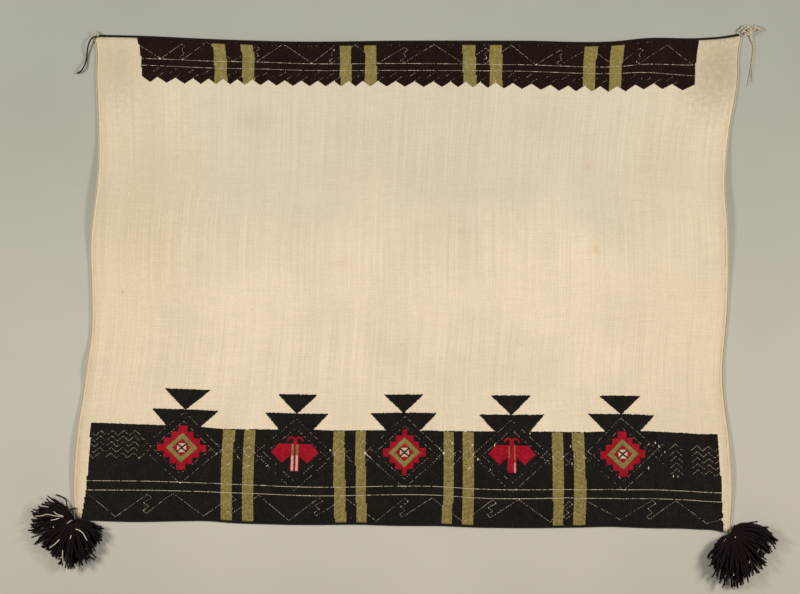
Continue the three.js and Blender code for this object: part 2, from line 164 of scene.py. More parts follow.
floor_material, tree = new_material("floor")
place = node(tree, "ShaderNodeTexCoord")["Object"]
height_up = node(tree, "ShaderNodeSeparateXYZ", {0: place})[1]
# Painted light: the floor's colour grows paler down the view, and a painted vignette dims it away from the
# cloth.
painted_light_slope = ranged(tree, height_up, -FLOOR_SHADED_TO, FLOOR_SHADED_TO)
mottle = ranged(tree, noise(tree, place, 3.0), 0.3, 0.7, 1 - FLOOR_MOTTLE, 1 + FLOOR_MOTTLE)
away = length_of(tree, vector_node(tree, "MULTIPLY", place, LIT_SHAPE))
mottle_and_painted_vignette = product(tree, mottle, ranged(tree, away, LIT_TO, DIMMED_FROM, FLOOR_LIT, FLOOR_DIMMED))
grey = scaled(tree, mix(tree, painted_light_slope, FLOOR_BOTTOM, FLOOR_TOP), mottle_and_painted_vignette)
finish(tree, {"Base Color": grey, "Roughness": 0.9, "Specular IOR Level": 0.1})

half = FLOOR_SIZE / 2
floor_mesh = bpy.data.meshes.new("floor")
corners = [(-half, -half, 0), (half, -half, 0), (half, half, 0), (-half, half, 0)]
floor_mesh.from_pydata(corners, [], [(0, 1, 2, 3)])
floor_mesh.materials.append(floor_material)
floor = placed("floor", floor_mesh)

for side in (-1, 1):
    lamp = placed("soft_light", bpy.data.lights.new("soft_light", "AREA"))
    lamp.data.shape = "RECTANGLE"
    lamp.data.size, lamp.data.size_y = LIGHT_SIZE
    lamp.data.energy = LIGHT_POWER
    lamp.location = (side * LIGHT_ASIDE, LIGHT_AHEAD, LIGHT_HEIGHT)
    lamp.rotation_euler = (0, side * math.atan2(LIGHT_ASIDE, LIGHT_HEIGHT), 0)

world = bpy.data.worlds.new("dome")
bpy.context.scene.world = world
world.use_nodes = True
dome = {"Color": DOME_COLOUR, "Strength": DOME_STRENGTH}
connect(world.node_tree, world.node_tree.nodes["Background"], dome)


# The cloth: one panel of handspun white cotton in a plain weave, with its selvedges at the sides. It
# lies flat but for its side edges, which stand up here and there, and a few shallow ripples.
CLOTH_WIDTH = 1.430
CLOTH_HEIGHT = 1.080
CLOTH_THICKNESS = 0.0015
CLOTH_COLUMNS = 190
CLOTH_ROWS = 144

# How far each laid edge lies outside a plain rectangle, from the left corner or the bottom one: (at, out)
TOP_EDGE = [
    (0, 0.004), (0.03, 0.0035), (0.094, 0.002), (0.272, -0.006), (0.451, -0.011), (0.675, -0.009),
    (0.942, -0.009), (1.166, -0.009), (1.211, -0.004), (1.345, -0.003), (1.39, 0.0005), (1.43, 0.007),
]
BOTTOM_EDGE = [
    (0, -0.016), (0.272, -0.016), (0.36, -0.011), (0.491, -0.005), (0.797, -0.006), (0.885, 0),
    (1.104, 0.002), (1.19, -0.002), (1.322, 0), (1.43, 0.012),
]
LEFT_EDGE = [
    (0, 0.006), (0.06, 0.008), (0.19, 0), (0.28, -0.013), (0.415, -0.031), (0.63, -0.031), (0.77, -0.047),
    (0.94, -0.045), (0.99, -0.043), (1.06, -0.0425), (1.08, -0.0385),
]
RIGHT_EDGE = [
    (0, 0.016), (0.06, 0.02), (0.19, 0.015), (0.325, 0), (0.5, 0.011), (0.634, 0.011), (0.77, 0.004),
    (0.85, 0.011), (0.989, 0.033), (1.05, 0.0355), (1.08, 0.041),
]
# The stitched bottom edge sags a little more between its tacks: (at, sag)
BOTTOM_SAG = [
    (0, 0), (0.075, 0.004), (0.128, 0.006), (0.235, 0.004), (0.288, 0.002), (0.342, 0.003), (0.45, 0.001),
    (0.608, 0), (0.715, 0.005), (0.821, 0.003), (0.928, 0), (1.141, -0.0005), (1.27, 0.005), (1.354, 0.002),
    (1.412, 0.001), (1.43, 0.007),
]
SAG_REACH = 0.06
# Where a side edge stands off the surface: (side, middle, half its length, height, reach inwards)
EDGE_LIFTS = [
    ("left", 0.720, 0.170, 0.008, 0.070),
    ("left", 0.150, 0.150, 0.004, 0.014),
    ("left", 0.345, 0.060, 0.004, 0.060),
    ("right", 0.690, 0.210, 0.007, 0.060),
    ("right", 0.140, 0.120, 0.003, 0.010),
]
# Shallow ripples: (waves a metre across, waves a metre up, phase, height)
RIPPLES = [
    (5.2, 0.6, 0.4, 0.0005),
    (9.0, -1.1, 2.1, 0.0004),
    (1.3, 4.4, 1.0, 0.0004),
    (14.0, 2.3, 4.0, 0.0002),
    (3.1, -7.3, 5.2, 0.0002),
]
# The ripples are full between the two bands, and shallower under them
PLAIN_FROM = 0.26
PLAIN_TO = 0.97
RIPPLE_FADE = 0.1
BAND_RIPPLE = 0.35


def read(table, at):
    """Reads a table of pairs on a smooth line through them."""
    ats, values = np.array(table, float).T
    slopes = np.gradient(values, ats)
    row = np.clip(np.searchsorted(ats, at) - 1, 0, len(ats) - 2)
    span = ats[row + 1] - ats[row]
    share = (at - ats[row]) / span
    rest = 1 - share
    return (
        values[row] * (1 + 2 * share) * rest ** 2 + slopes[row] * span * share * rest ** 2
        + values[row + 1] * (1 + 2 * rest) * share ** 2 - slopes[row + 1] * span * rest * share ** 2
    )


def lay(across, up):
    """Where points of the woven cloth lie, between its four laid edges."""
    left = -CLOTH_WIDTH / 2 - read(LEFT_EDGE, up)
    right = CLOTH_WIDTH / 2 + read(RIGHT_EDGE, up)
    bottom = -CLOTH_HEIGHT / 2 - read(BOTTOM_EDGE, across)
    top = CLOTH_HEIGHT / 2 + read(TOP_EDGE, across)
    sag = read(BOTTOM_SAG, across) * np.clip(1 - up / SAG_REACH, 0, 1) ** 2
    return left + (right - left) * across / CLOTH_WIDTH, bottom + (top - bottom) * up / CLOTH_HEIGHT - sag


def underside(across, up):
    """How high the underside of the cloth stands over the surface."""
    height = np.zeros(np.broadcast(across, up).shape)
    for side, middle, half_length, rise, reach in EDGE_LIFTS:
        inward = across if side == "left" else CLOTH_WIDTH - across
        along = np.clip(np.abs(up - middle) / half_length, 0, 1)
        height = height + rise * np.clip(1 - inward / reach, 0, 1) ** 2 * np.cos(along * np.pi / 2) ** 2
    plain = np.clip((up - PLAIN_FROM) / RIPPLE_FADE, 0, 1) * np.clip((PLAIN_TO - up) / RIPPLE_FADE, 0, 1)
    for waves_across, waves_up, phase, rise in RIPPLES:
        wave = 0.5 + 0.5 * np.sin(2 * np.pi * (waves_across * across + waves_up * up) + phase)
        height = height + rise * wave * (BAND_RIPPLE + (1 - BAND_RIPPLE) * plain)
    return height


def mesh_of(name, places, faces, edges=()):
    """A mesh from its points and faces."""
    made = bpy.data.meshes.new(name)
    made.from_pydata(np.asarray(places).tolist(), list(edges), np.asarray(faces).tolist())
    made.update()
    return made


def give(mesh, name, kind, values, domain="POINT"):
    """Stores values on a mesh under a name."""
    made = mesh.attributes.new(name, kind, domain)
    field = "vector" if kind == "FLOAT_VECTOR" else "value"
    made.data.foreach_set(field, np.asarray(values).ravel())


def cloth_mesh():
    """A closed sheet: its upper and lower face share a rim."""
    across, up = np.meshgrid(
        np.linspace(0, CLOTH_WIDTH, CLOTH_COLUMNS + 1), np.linspace(0, CLOTH_HEIGHT, CLOTH_ROWS + 1))
    x, y = lay(across, up)
    under = underside(across, up)
    layers = [np.stack([x, y, under + lift], -1).reshape(-1, 3) for lift in (CLOTH_THICKNESS, 0)]
    number = np.arange(across.size).reshape(across.shape)
    quads = np.stack([number[:-1, :-1], number[:-1, 1:], number[1:, 1:], number[1:, :-1]], -1)
    quads = quads.reshape(-1, 4)
    rim = np.concatenate([number[0, :-1], number[:-1, -1], number[-1, :0:-1], number[:0:-1, 0]])
    after = np.roll(rim, -1)
    walls = np.stack([rim + across.size, after + across.size, after, rim], -1)
    faces = np.concatenate([quads, quads[:, ::-1] + across.size, walls])
    made = mesh_of("cloth_panel", np.concatenate(layers), faces)
    woven = np.tile(np.stack([across, up], -1).reshape(-1, 2), (2, 1))
    corners = np.zeros(len(made.loops), int)
    made.loops.foreach_get("vertex_index", corners)
    made.uv_layers.new(name="woven").data.foreach_set("uv", woven[corners].ravel())
    made.shade_smooth()
    return made


THREAD_PITCH = 0.00115
THREAD_BUMP = 0.0003
# Slubs in the handspun threads: (waves a metre across, up and in depth), how much paler or deeper
SLUBS = [
    ((430, 4, 1), 0.085),
    ((60, 1.6, 1), 0.024),
    ((14, 260, 1), 0.034),
    ((300, 300, 1), 0.080),
    ((90, 60, 1), 0.020),
]
COTTON_LOWER = paint(233, 212, 181)
COTTON_UPPER = paint(214, 200, 174)
COTTON_EDGE_TAN_AND_SHADE = paint(205, 184, 150)
COTTON_CLOUD_AND_GAP_SHADE = paint(196, 178, 148)
TANNED = paint(190, 172, 140)
DEEP_TANNED = paint(170, 154, 123)
GREY_SMUDGE = paint(186, 178, 163)
RUST = paint(214, 170, 118)
BROWN_SPECK = paint(150, 108, 72)
# The cloth grows greyer and darker from here up, partly its own greyer tone and partly a painted fall-off of
# light. It darkens towards its sides, partly a tan and partly painted shade that evens out the side lamps,
# and is tanned most of all in its edge strips
GREY_AND_PAINTED_DIM_FROM = 0.52
GREY_AND_PAINTED_DIM_TO = 0.80
TAN_AND_PAINTED_SHADE_REACH = 0.40
STRIP_WIDTH = 0.030
# A thin brown line runs beside each selvedge
LINE_INWARD = 0.0052
LINE_HALF = 0.0012
MARK_RAGGED = 0.17
# Marks of use, and a darker patch at the left middle that is partly a tan and partly painted shade: (across,
# up, half width, half height, strength, colour)
MARKS = [
    (0.040, 1.020, 0.110, 0.150, 0.85, TANNED),
    (1.390, 1.020, 0.120, 0.150, 0.85, DEEP_TANNED),
    # Partly painted shade: the left middle is darkened, on top of a tan.
    (0.110, 0.690, 0.200, 0.300, 0.62, COTTON_EDGE_TAN_AND_SHADE),
    (0.355, 0.905, 0.080, 0.045, 0.30, GREY_SMUDGE),
    (0.620, 0.880, 0.120, 0.060, 0.15, GREY_SMUDGE),
    (1.010, 0.900, 0.100, 0.050, 0.15, GREY_SMUDGE),
    (0.240, 0.700, 0.060, 0.090, 0.15, GREY_SMUDGE),
    (1.135, 0.620, 0.013, 0.018, 0.45, RUST),
    (1.118, 0.805, 0.012, 0.012, 0.35, RUST),
    (0.829, 0.655, 0.014, 0.010, 0.30, RUST),
    (0.560, 0.585, 0.030, 0.012, 0.20, RUST),
    (0.069, 0.508, 0.003, 0.004, 0.85, BROWN_SPECK),
    (0.359, 0.477, 0.003, 0.003, 0.60, BROWN_SPECK),
    (0.700, 0.400, 0.002, 0.006, 0.40, BROWN_SPECK),
]


def bumped(tree, height, distance):
    """A surface's normals, tilted by small heights."""
    return node(tree, "ShaderNodeBump", {"Height": height, "Strength": 0.5, "Distance": distance})[0]


def new_group(name, inputs, outputs):
    """A shader group with named sockets, and its two ends."""
    group = bpy.data.node_groups.new(name, "ShaderNodeTree")
    for way, sockets in (("INPUT", inputs), ("OUTPUT", outputs)):
        for label, kind in sockets.items():
            group.interface.new_socket(label, in_out=way, socket_type="NodeSocket" + kind)
    return group, group.nodes.new("NodeGroupInput").outputs, group.nodes.new("NodeGroupOutput").inputs


def plain_weave():
    """Threads that pass over and under each other: a bump for each crossing, and uneven threads."""
    group, given, out = new_group(
        "plain_weave", {"Place": "Vector", "Pitch": "Float"}, {"Height": "Float", "Streak": "Float"})
    ways = []
    for way in node(group, "ShaderNodeSeparateXYZ", {0: given["Place"]})[:2]:
        turns = number_node(group, "DIVIDE", way, given["Pitch"])
        ways.append(number_node(group, "SINE", product(group, turns, math.pi)))
    crossing = number_node(group, "ABSOLUTE", product(group, *ways))
    group.links.new(number_node(group, "POWER", crossing, 0.6), out["Height"])
    streak = 1.0
    for waves, depth in SLUBS:
        thread = noise(group, vector_node(group, "MULTIPLY", given["Place"], waves), 1.0)
        thick = ranged(group, thread, 0.25, 0.75, 1 - depth, 1 + depth, False)
        streak = product(group, streak, thick)
    group.links.new(streak, out["Streak"])
    return group


def mark():
    """How far a place lies inside a soft oval: 1 in its middle and 0 outside it."""
    group, given, out = new_group(
        "mark", {"Place": "Vector", "Middle": "Vector", "Size": "Vector", "Strength": "Float"},
        {"Mask": "Float"})
    away = vector_node(group, "SUBTRACT", given["Place"], given["Middle"])
    distance = length_of(group, vector_node(group, "DIVIDE", away, given["Size"]))
    ragged = ranged(
        group, noise(group, given["Place"], 90.0, 4.0), 0.3, 0.7, -MARK_RAGGED, MARK_RAGGED, False)
    inside = ranged(group, number_node(group, "ADD", distance, ragged), 0.0, 1.0, 1.0, 0.0)
    group.links.new(product(group, inside, given["Strength"]), out["Mask"])
    return group


def cotton_cloth():
    """Unbleached handspun cotton, greyer towards its top and tanned at its sides, partly with painted light
    and shade, and with painted shade between its threads.
    """
    made, tree = new_material("cotton_cloth")
    woven = node(tree, "ShaderNodeUVMap", uv_map="woven")[0]
    weave = node(
        tree, "ShaderNodeGroup", {"Place": woven, "Pitch": THREAD_PITCH}, node_tree=plain_weave())
    across, up = node(tree, "ShaderNodeSeparateXYZ", {0: woven})[:2]
    wander = ranged(tree, noise(tree, woven, 4.0), 0.3, 0.7, -0.1, 0.1, False)
    # Partly painted light: the cloth is darkened and greyed towards its top.
    high = ranged(tree, number_node(tree, "ADD", up, wander), GREY_AND_PAINTED_DIM_FROM, GREY_AND_PAINTED_DIM_TO)
    colour = mix(tree, high, COTTON_LOWER, COTTON_UPPER)
    cloudy = ranged(tree, noise(tree, woven, 7.0, 4.0), 0.35, 0.75, 0.0, 0.22)
    colour = mix(tree, cloudy, colour, COTTON_CLOUD_AND_GAP_SHADE)
    inward = number_node(tree, "MINIMUM", across, number_node(tree, "SUBTRACT", CLOTH_WIDTH, across))
    # Partly painted shade: the cloth darkens towards its sides, with a real tan in its edge strips.
    for reach, depth in ((TAN_AND_PAINTED_SHADE_REACH, 0.42), (STRIP_WIDTH, 0.70)):
        colour = mix(tree, ranged(tree, inward, 0.0, reach, depth, 0.0), colour, COTTON_EDGE_TAN_AND_SHADE)
    off_line = number_node(tree, "ABSOLUTE", number_node(tree, "SUBTRACT", inward, LINE_INWARD))
    line = ranged(tree, off_line, LINE_HALF / 3, LINE_HALF, 1.0, 0.0)
    broken = ranged(tree, noise(tree, woven, 22.0), 0.40, 0.60, 0.1, 0.55)
    colour = mix(tree, product(tree, line, broken), colour, BROWN_SPECK)
    ovals = mark()
    for x, y, half_width, half_height, strength, tint in MARKS:
        size = (half_width, half_height, 1)
        oval = {"Place": woven, "Middle": (x, y, 0), "Size": size, "Strength": strength}
        colour = mix(tree, node(tree, "ShaderNodeGroup", oval, node_tree=ovals)["Mask"], colour, tint)
    # Painted shade: the low places between the crossing threads are darkened towards the shade colour.
    gaps = ranged(tree, weave["Height"], 0.0, 0.6, 0.28, 0.0, False)
    colour = scaled(tree, mix(tree, gaps, colour, COTTON_CLOUD_AND_GAP_SHADE), weave["Streak"])
    finish(tree, {
        "Base Color": colour, "Normal": bumped(tree, weave["Height"], THREAD_BUMP), "Roughness": 0.95,
        "Specular IOR Level": 0.15})
    return made


cloth = placed("cloth_panel", cloth_mesh())
cloth.data.materials.append(cotton_cloth())
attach(cloth, "root")
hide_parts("cloth")


# The edge cords: twined wool along the top and the bottom, and plied cotton down both selvedges. Each
# lies against the cloth's edge and rises and falls with it. The top cord's free end is the loose cord.
MILLIMETRE = 0.001
EDGE_GAP = 0.0003
# A cord thicker than this is sewn a little way over the cloth's edge
SEWN_OUT = 0.0045
DARK_CORD = 0.0055
BLACK_CORD = 0.0035
COTTON_CORD = 0.003


def new_tree(name, inputs):
    """A geometry tree with named inputs, and its two ends."""
    made = bpy.data.node_groups.new(name, "GeometryNodeTree")
    made.interface.new_socket("Geometry", in_out="INPUT", socket_type="NodeSocketGeometry")
    made.interface.new_socket("Geometry", in_out="OUTPUT", socket_type="NodeSocketGeometry")
    for label, kind in inputs.items():
        made.interface.new_socket(label, in_out="INPUT", socket_type="NodeSocket" + kind)
    return made, made.nodes.new("NodeGroupInput").outputs, made.nodes.new("NodeGroupOutput").inputs


def named_value(tree, name, kind="FLOAT"):
    """A value that the points carry under a name."""
    return node(tree, "GeometryNodeInputNamedAttribute", {"Name": name}, data_type=kind)[0]


def stored(tree, geometry, name, value, kind="FLOAT"):
    """Stores a value on the points under a name."""
    inputs = {"Geometry": geometry, "Name": name, "Value": value}
    return node(tree, "GeometryNodeStoreNamedAttribute", inputs, data_type=kind, domain="POINT")[0]


def moved(tree, geometry, place):
    """Gives every point of a shape a new place."""
    return node(tree, "GeometryNodeSetPosition", {"Geometry": geometry, "Position": place})[0]


def one_less(tree, amount, depth):
    """One, less an amount times a depth."""
    return number_node(tree, "SUBTRACT", 1.0, product(tree, amount, depth))


def coloured(tree, geometry, material, name, above):
    """Gives a material to the faces whose value under a name is above some number."""
    chosen = node(tree, "FunctionNodeCompare", {0: named_value(tree, name), 1: above},
                  data_type="FLOAT", operation="GREATER_THAN")[0]
    inputs = {"Geometry": geometry, "Selection": chosen, "Material": material}
    return node(tree, "GeometryNodeSetMaterial", inputs)[0]


def plied_yarn():
    """Yarn spun from a few plies along every guide line: a section with a lobe for each ply, twisted."""
    tree, given, out = new_tree("plied_yarn", {
        "Thickness": "Float", "Plies": "Int", "Sides": "Int", "Groove": "Float", "Twist": "Float",
        "Step": "Float", "Seed": "Int", "Yarn": "Material", "Pale yarn": "Material"})
    lines = node(tree, "GeometryNodeMeshToCurve", {0: given["Geometry"]})[0]
    lines = node(
        tree, "GeometryNodeResampleCurve", {"Curve": lines, "Length": given["Step"]}, mode="LENGTH")[0]
    along = node(tree, "GeometryNodeSplineParameter")["Length"]
    index = node(tree, "GeometryNodeInputIndex")[0]
    number = node(tree, "GeometryNodeFieldOnDomain", {0: index}, domain="CURVE", data_type="INT")[0]
    each = {"ID": number, "Seed": given["Seed"]}
    shade = node(tree, "FunctionNodeRandomValue", each, data_type="FLOAT")[1]
    turns = number_node(tree, "ADD", number_node(tree, "DIVIDE", along, given["Twist"]), shade)
    tilt = product(tree, turns, 2 * math.pi)
    lines = node(tree, "GeometryNodeSetCurveTilt", {"Curve": lines, "Tilt": tilt})[0]
    lines = stored(tree, lines, "along", along)
    lines = stored(tree, lines, "shade", shade)
    radius = number_node(tree, "DIVIDE", given["Thickness"], 2.0)
    ring = node(tree, "GeometryNodeCurvePrimitiveCircle", {"Resolution": given["Sides"], "Radius": radius})
    share = number_node(tree, "DIVIDE", index, given["Sides"])
    lobe = number_node(tree, "COSINE", product(tree, product(tree, share, given["Plies"]), 2 * math.pi))
    hollow = product(tree, number_node(tree, "SUBTRACT", 1.0, lobe), 0.5)
    place = node(tree, "GeometryNodeInputPosition")[0]
    ring = moved(tree, ring["Curve"], scaled(tree, place, one_less(tree, hollow, given["Groove"])))
    ring = stored(tree, ring, "groove", hollow)
    ring = stored(tree, ring, "around", share)
    yarn = node(tree, "GeometryNodeCurveToMesh", {
        "Curve": lines, "Profile Curve": ring, "Scale": named_value(tree, "taper"), "Fill Caps": True})[0]
    yarn = node(tree, "GeometryNodeSetShadeSmooth", {0: yarn})[0]
    yarn = node(tree, "GeometryNodeRealizeInstances", {0: yarn})[0]
    yarn = node(tree, "GeometryNodeSetMaterial", {"Geometry": yarn, "Material": given["Yarn"]})[0]
    yarn = coloured(tree, yarn, given["Pale yarn"], "pale", 0.5)
    tree.links.new(yarn, out[0])
    return tree


def grown(name, guide, tree, **inputs):
    """Runs a tree on a guide mesh, and gives its result as a plain mesh object."""
    worker = placed(name + "_guide", guide)
    modifier = worker.modifiers.new("tree", "NODES")
    modifier.node_group = tree
    for item in tree.interface.items_tree:
        label = item.name.replace(" ", "_").lower()
        if item.in_out == "INPUT" and label in inputs:
            modifier[item.identifier] = inputs[label]
    graph = bpy.context.evaluated_depsgraph_get()
    result = bpy.data.meshes.new_from_object(
        worker.evaluated_get(graph), preserve_all_data_layers=True, depsgraph=graph)
    result.name = name
    if result.materials[0] is None:
        result.materials.pop(index=0)
    bpy.data.objects.remove(worker)
    bpy.data.meshes.remove(guide)
    return placed(name, result)


def smooth(points, steps):
    """A smooth line through given points, with this many steps from each to the next."""
    points = np.asarray(points, float)
    before = np.concatenate([[2 * points[0] - points[1]], points[:-2]])
    ahead = np.concatenate([points[2:], [2 * points[-1] - points[-2]]])
    share = (np.arange(steps) / steps)[:, None, None]
    one, two = points[:-1], points[1:]
    line = 0.5 * (
        2 * one + (two - before) * share + (2 * before - 5 * one + 4 * two - ahead) * share ** 2
        + (3 * one - before - 3 * two + ahead) * share ** 3)
    return np.concatenate([line.transpose(1, 0, 2).reshape(-1, points.shape[1]), points[-1:]])


def laid(route, steps):
    """A smooth line in metres through points in millimetres. A fourth number, the thickness, stays."""
    line = smooth(route, steps)
    line[:, :3] *= MILLIMETRE
    return line


def guide_of(lines, pale=()):
    """Guide lines for yarn, as one mesh of edges. Numbers in `pale` are the lines of the pale yarn."""
    places = np.concatenate([np.asarray(line, float)[:, :3] for line in lines])
    edges = []
    tapers = []
    pales = []
    start = 0
    for number, line in enumerate(lines):
        count = len(line)
        edges += [(start + step, start + step + 1) for step in range(count - 1)]
        tapers += [point[3] if len(point) > 3 else 1.0 for point in line]
        pales += [float(number in pale)] * count
        start += count
    made = mesh_of("guide", places, [], edges)
    give(made, "taper", "FLOAT", tapers)
    give(made, "pale", "FLOAT", pales)
    return made


FIBRE_WAVES = (3200, 420, 3200)
FIBRE_BUMP = 0.0003
YARN_GIRTH = 0.008


def spun_fibre():
    """Spun fibre: fine streaks along the yarn, slow patches, a paler or deeper yarn here and there, and
    painted shade in the grooves between its plies.
    """
    group, given, out = new_group(
        "spun_fibre",
        {"Place": "Vector", "Colour": "Color", "Pale": "Color", "Deep": "Color", "Shade": "Float",
         "Groove": "Float"},
        {"Colour": "Color", "Height": "Float"})
    fine = noise(group, vector_node(group, "MULTIPLY", given["Place"], FIBRE_WAVES), 1.0, 3.0)
    patch = noise(group, given["Place"], 38.0, 3.0)
    lighter = number_node(
        group, "ADD", ranged(group, fine, 0.45, 0.75, 0.0, 0.55), ranged(group, patch, 0.4, 0.7, 0.0, 0.3))
    colour = mix(group, lighter, given["Colour"], given["Pale"])
    # Each yarn's random shade deepens its colour, and painted shade deepens the grooves between its plies.
    tone_and_groove_shade = number_node(
        group, "ADD", product(group, given["Shade"], 0.45), product(group, given["Groove"], 0.5))
    colour = mix(group, tone_and_groove_shade, colour, given["Deep"])
    group.links.new(colour, out["Colour"])
    group.links.new(fine, out["Height"])
    return group


SPUN_FIBRE = spun_fibre()


def carried(tree, name):
    """A number that a material's surface carries under a name."""
    return node(tree, "ShaderNodeAttribute", attribute_name=name)["Fac"]


def wool(name, colour, pale, deep, sheen=0.03, yarn=False):
    """A dyed or undyed fibre. A yarn's fibre runs along it, and a stitch's runs up the cloth."""
    made, tree = new_material(name)
    inputs = {
        "Colour": paint(*colour), "Pale": paint(*pale), "Deep": paint(*deep),
        "Shade": carried(tree, "shade")}
    if yarn:
        girth = product(tree, carried(tree, "around"), YARN_GIRTH)
        ways = {0: girth, 1: carried(tree, "along"), 2: inputs["Shade"]}
        inputs["Place"] = node(tree, "ShaderNodeCombineXYZ", ways)[0]
        # Painted shade: a yarn is darkened in the grooves between its plies.
        inputs["Groove"] = carried(tree, "groove")
    else:
        inputs["Place"] = node(tree, "ShaderNodeTexCoord")["Object"]
    fibre = node(tree, "ShaderNodeGroup", inputs, node_tree=SPUN_FIBRE)
    finish(tree, {
        "Base Color": fibre["Colour"], "Normal": bumped(tree, fibre["Height"], FIBRE_BUMP), "Roughness": 0.9,
        "Specular IOR Level": 0.1, "Sheen Weight": sheen, "Sheen Roughness": 0.5})
    return made


DARK_YARN = wool("dark_brown_yarn", (32, 21, 15), (54, 37, 27), (14, 9, 7), yarn=True)
BLACK_YARN = wool("black_yarn", (34, 27, 22), (56, 46, 38), (14, 11, 9), yarn=True)
COTTON_YARN = wool("cotton_yarn", (205, 188, 154), (226, 211, 180), (140, 121, 90), 0.05, yarn=True)
PLIED_YARN = plied_yarn()

EDGE_CORDS = [  # node, replaced by, edge, thickness, plies, length of a twist, yarn, slot
    ("top_edge_cord", "top_cord", "top", DARK_CORD, 3, 0.016, DARK_YARN, "dark_wool"),
    ("bottom_edge_cord", "bottom_cord", "bottom", BLACK_CORD, 3, 0.014, BLACK_YARN, "black_wool"),
    ("left_edge_cord", "left_selvedge", "left", COTTON_CORD, 2, 0.012, COTTON_YARN, "cotton_string"),
    ("right_edge_cord", "right_selvedge", "right", COTTON_CORD, 2, 0.012, COTTON_YARN, "cotton_string"),
]
EDGE_WAYS = {"top": (0, 1), "bottom": (0, -1), "left": (-1, 0), "right": (1, 0)}
EDGE_ENDS = {"top": (0.006, 0.997), "bottom": (0.010, 0.990), "left": (0, 1), "right": (0, 1)}
EDGE_STATIONS = 200
EDGE_STEP = 0.0022


def edge_route(edge, thickness):
    """A line just outside one edge of the cloth, at its height."""
    share = np.linspace(*EDGE_ENDS[edge], EDGE_STATIONS)
    way = EDGE_WAYS[edge]
    across = share * CLOTH_WIDTH if way[1] else np.full_like(share, max(way[0], 0) * CLOTH_WIDTH)
    up = share * CLOTH_HEIGHT if way[0] else np.full_like(share, max(way[1], 0) * CLOTH_HEIGHT)
    x, y = lay(across, up)
    out = min(thickness, SEWN_OUT) / 2 + EDGE_GAP
    return np.stack([x + way[0] * out, y + way[1] * out, underside(across, up) + thickness / 2], -1)


# Turns of thin cotton that bind the top cord's free end to the upper left corner, in millimetres. The
# fourth number of a point is the thickness there, as a share of the cord's.
CORNER_TURNS = [
    [(-679, 544, 4, 0.6), (-681.5, 550, 6, 0.6), (-677, 554.5, 7, 0.6), (-672.5, 552.5, 7, 0.6),
     (-670, 547, 5, 0.6)],
    [(-676.5, 543, 4, 0.6), (-674.5, 549, 8, 0.6), (-674, 554.5, 5, 0.6)],
    [(-671, 543, 5, 0.5), (-669, 547.5, 9, 0.5), (-669, 553, 5, 0.5)],
    [(-674, 554, 4, 0.4), (-676, 558, 3, 0.3)],
]

for cad_node, name, edge, thickness, plies, twist, yarn, slot in EDGE_CORDS:
    routes = [edge_route(edge, thickness)]
    if edge == "left":
        routes += [laid(turn, 5) for turn in CORNER_TURNS]
    cord = grown(
        name, guide_of(routes), PLIED_YARN, thickness=thickness, plies=plies,
        sides=plies * 4, groove=0.32, twist=twist, step=EDGE_STEP, seed=1, yarn=yarn, pale_yarn=yarn)
    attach(cord, "root")
    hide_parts(cad_node)

LOOSE_CORD = 0.0035
LOOSE_CORD_FULL = 1.12
LOOSE_CORD_ROUTE = [
    (-0.6707, 0.5445, 0.005), (-0.6755, 0.5445, 0.0055), (-0.6798, 0.5427, 0.006),
    (-0.6838, 0.5394, 0.0066), (-0.6872, 0.5348, 0.007), (-0.6898, 0.529, 0.007), (-0.692, 0.5215, 0.0062),
    (-0.6936, 0.5125, 0.0048), (-0.6946, 0.503, 0.0032), (-0.6956, 0.4945, 0.0028),
    (-0.6974, 0.4868, 0.004), (-0.7, 0.4797, 0.0054), (-0.7034, 0.4732, 0.006), (-0.7076, 0.468, 0.0055),
    (-0.7122, 0.4647, 0.0045), (-0.7172, 0.4632, 0.0035),
]
loose_path = smooth(LOOSE_CORD_ROUTE, 4)
loose_guide = np.concatenate([loose_path, np.full((len(loose_path), 1), LOOSE_CORD_FULL)], 1)
loose = grown(
    "loose_cord_end", guide_of([loose_guide]), PLIED_YARN, thickness=LOOSE_CORD, plies=3, sides=12,
    groove=0.3, twist=0.014, step=0.0016, seed=2, yarn=DARK_YARN, pale_yarn=DARK_YARN)
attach(loose, "root")
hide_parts("loose_cord")


# The embroidery: wool worked in straight columns of stitches that cover the cloth. Lines of the
# pattern are left bare between the stitches. Charts are in millimetres of the woven cloth.
COLUMN = 2.45
ROW = 0.5
COLUMNS = int(CLOTH_WIDTH / MILLIMETRE / COLUMN)
# A stitch's full length, the least length of one at an end of a column's run and of one on its own, and
# its lap over the next
STITCH = 11.0
END_STITCH = 3
SHORTEST_STITCH = 1.2
STITCH_OVERLAP = 0.6
STITCH_WIDTH = 3.7
STITCH_HEIGHT = 0.0011
WIDTHS_VARY = (0.93, 1.07)
HEIGHTS_VARY = (0.85, 1.12)
# Columns lie in pairs, moved towards each other; each stitch strays a little from its column and turns
PAIR_SHIFT = 0.16
STRAY = 0.05
TURN = 0.02
# Bare lines: their widths, how the columns vary them, and the share of columns that close a line
THIN_LINE = 1.3
BROAD_LINE = 1.5
GAPS_VARY = (0.8, 1.15)
LINE_CLOSED = 0.1
BROAD_CLOSED = 0.02

chance = np.random.default_rng(11)
column_phase = chance.uniform(0, STITCH, COLUMNS)


def open_chart(low, high):
    """An empty chart for a stretch of the cloth's height."""
    rows = int((high - low) / ROW)
    across, up = np.meshgrid(
        (np.arange(COLUMNS) + 0.5) * COLUMN, low + (np.arange(rows) + 0.5) * ROW, indexing="ij")
    return {"across": across, "up": up, "stitched": np.zeros((COLUMNS, rows), int), "pieces": []}


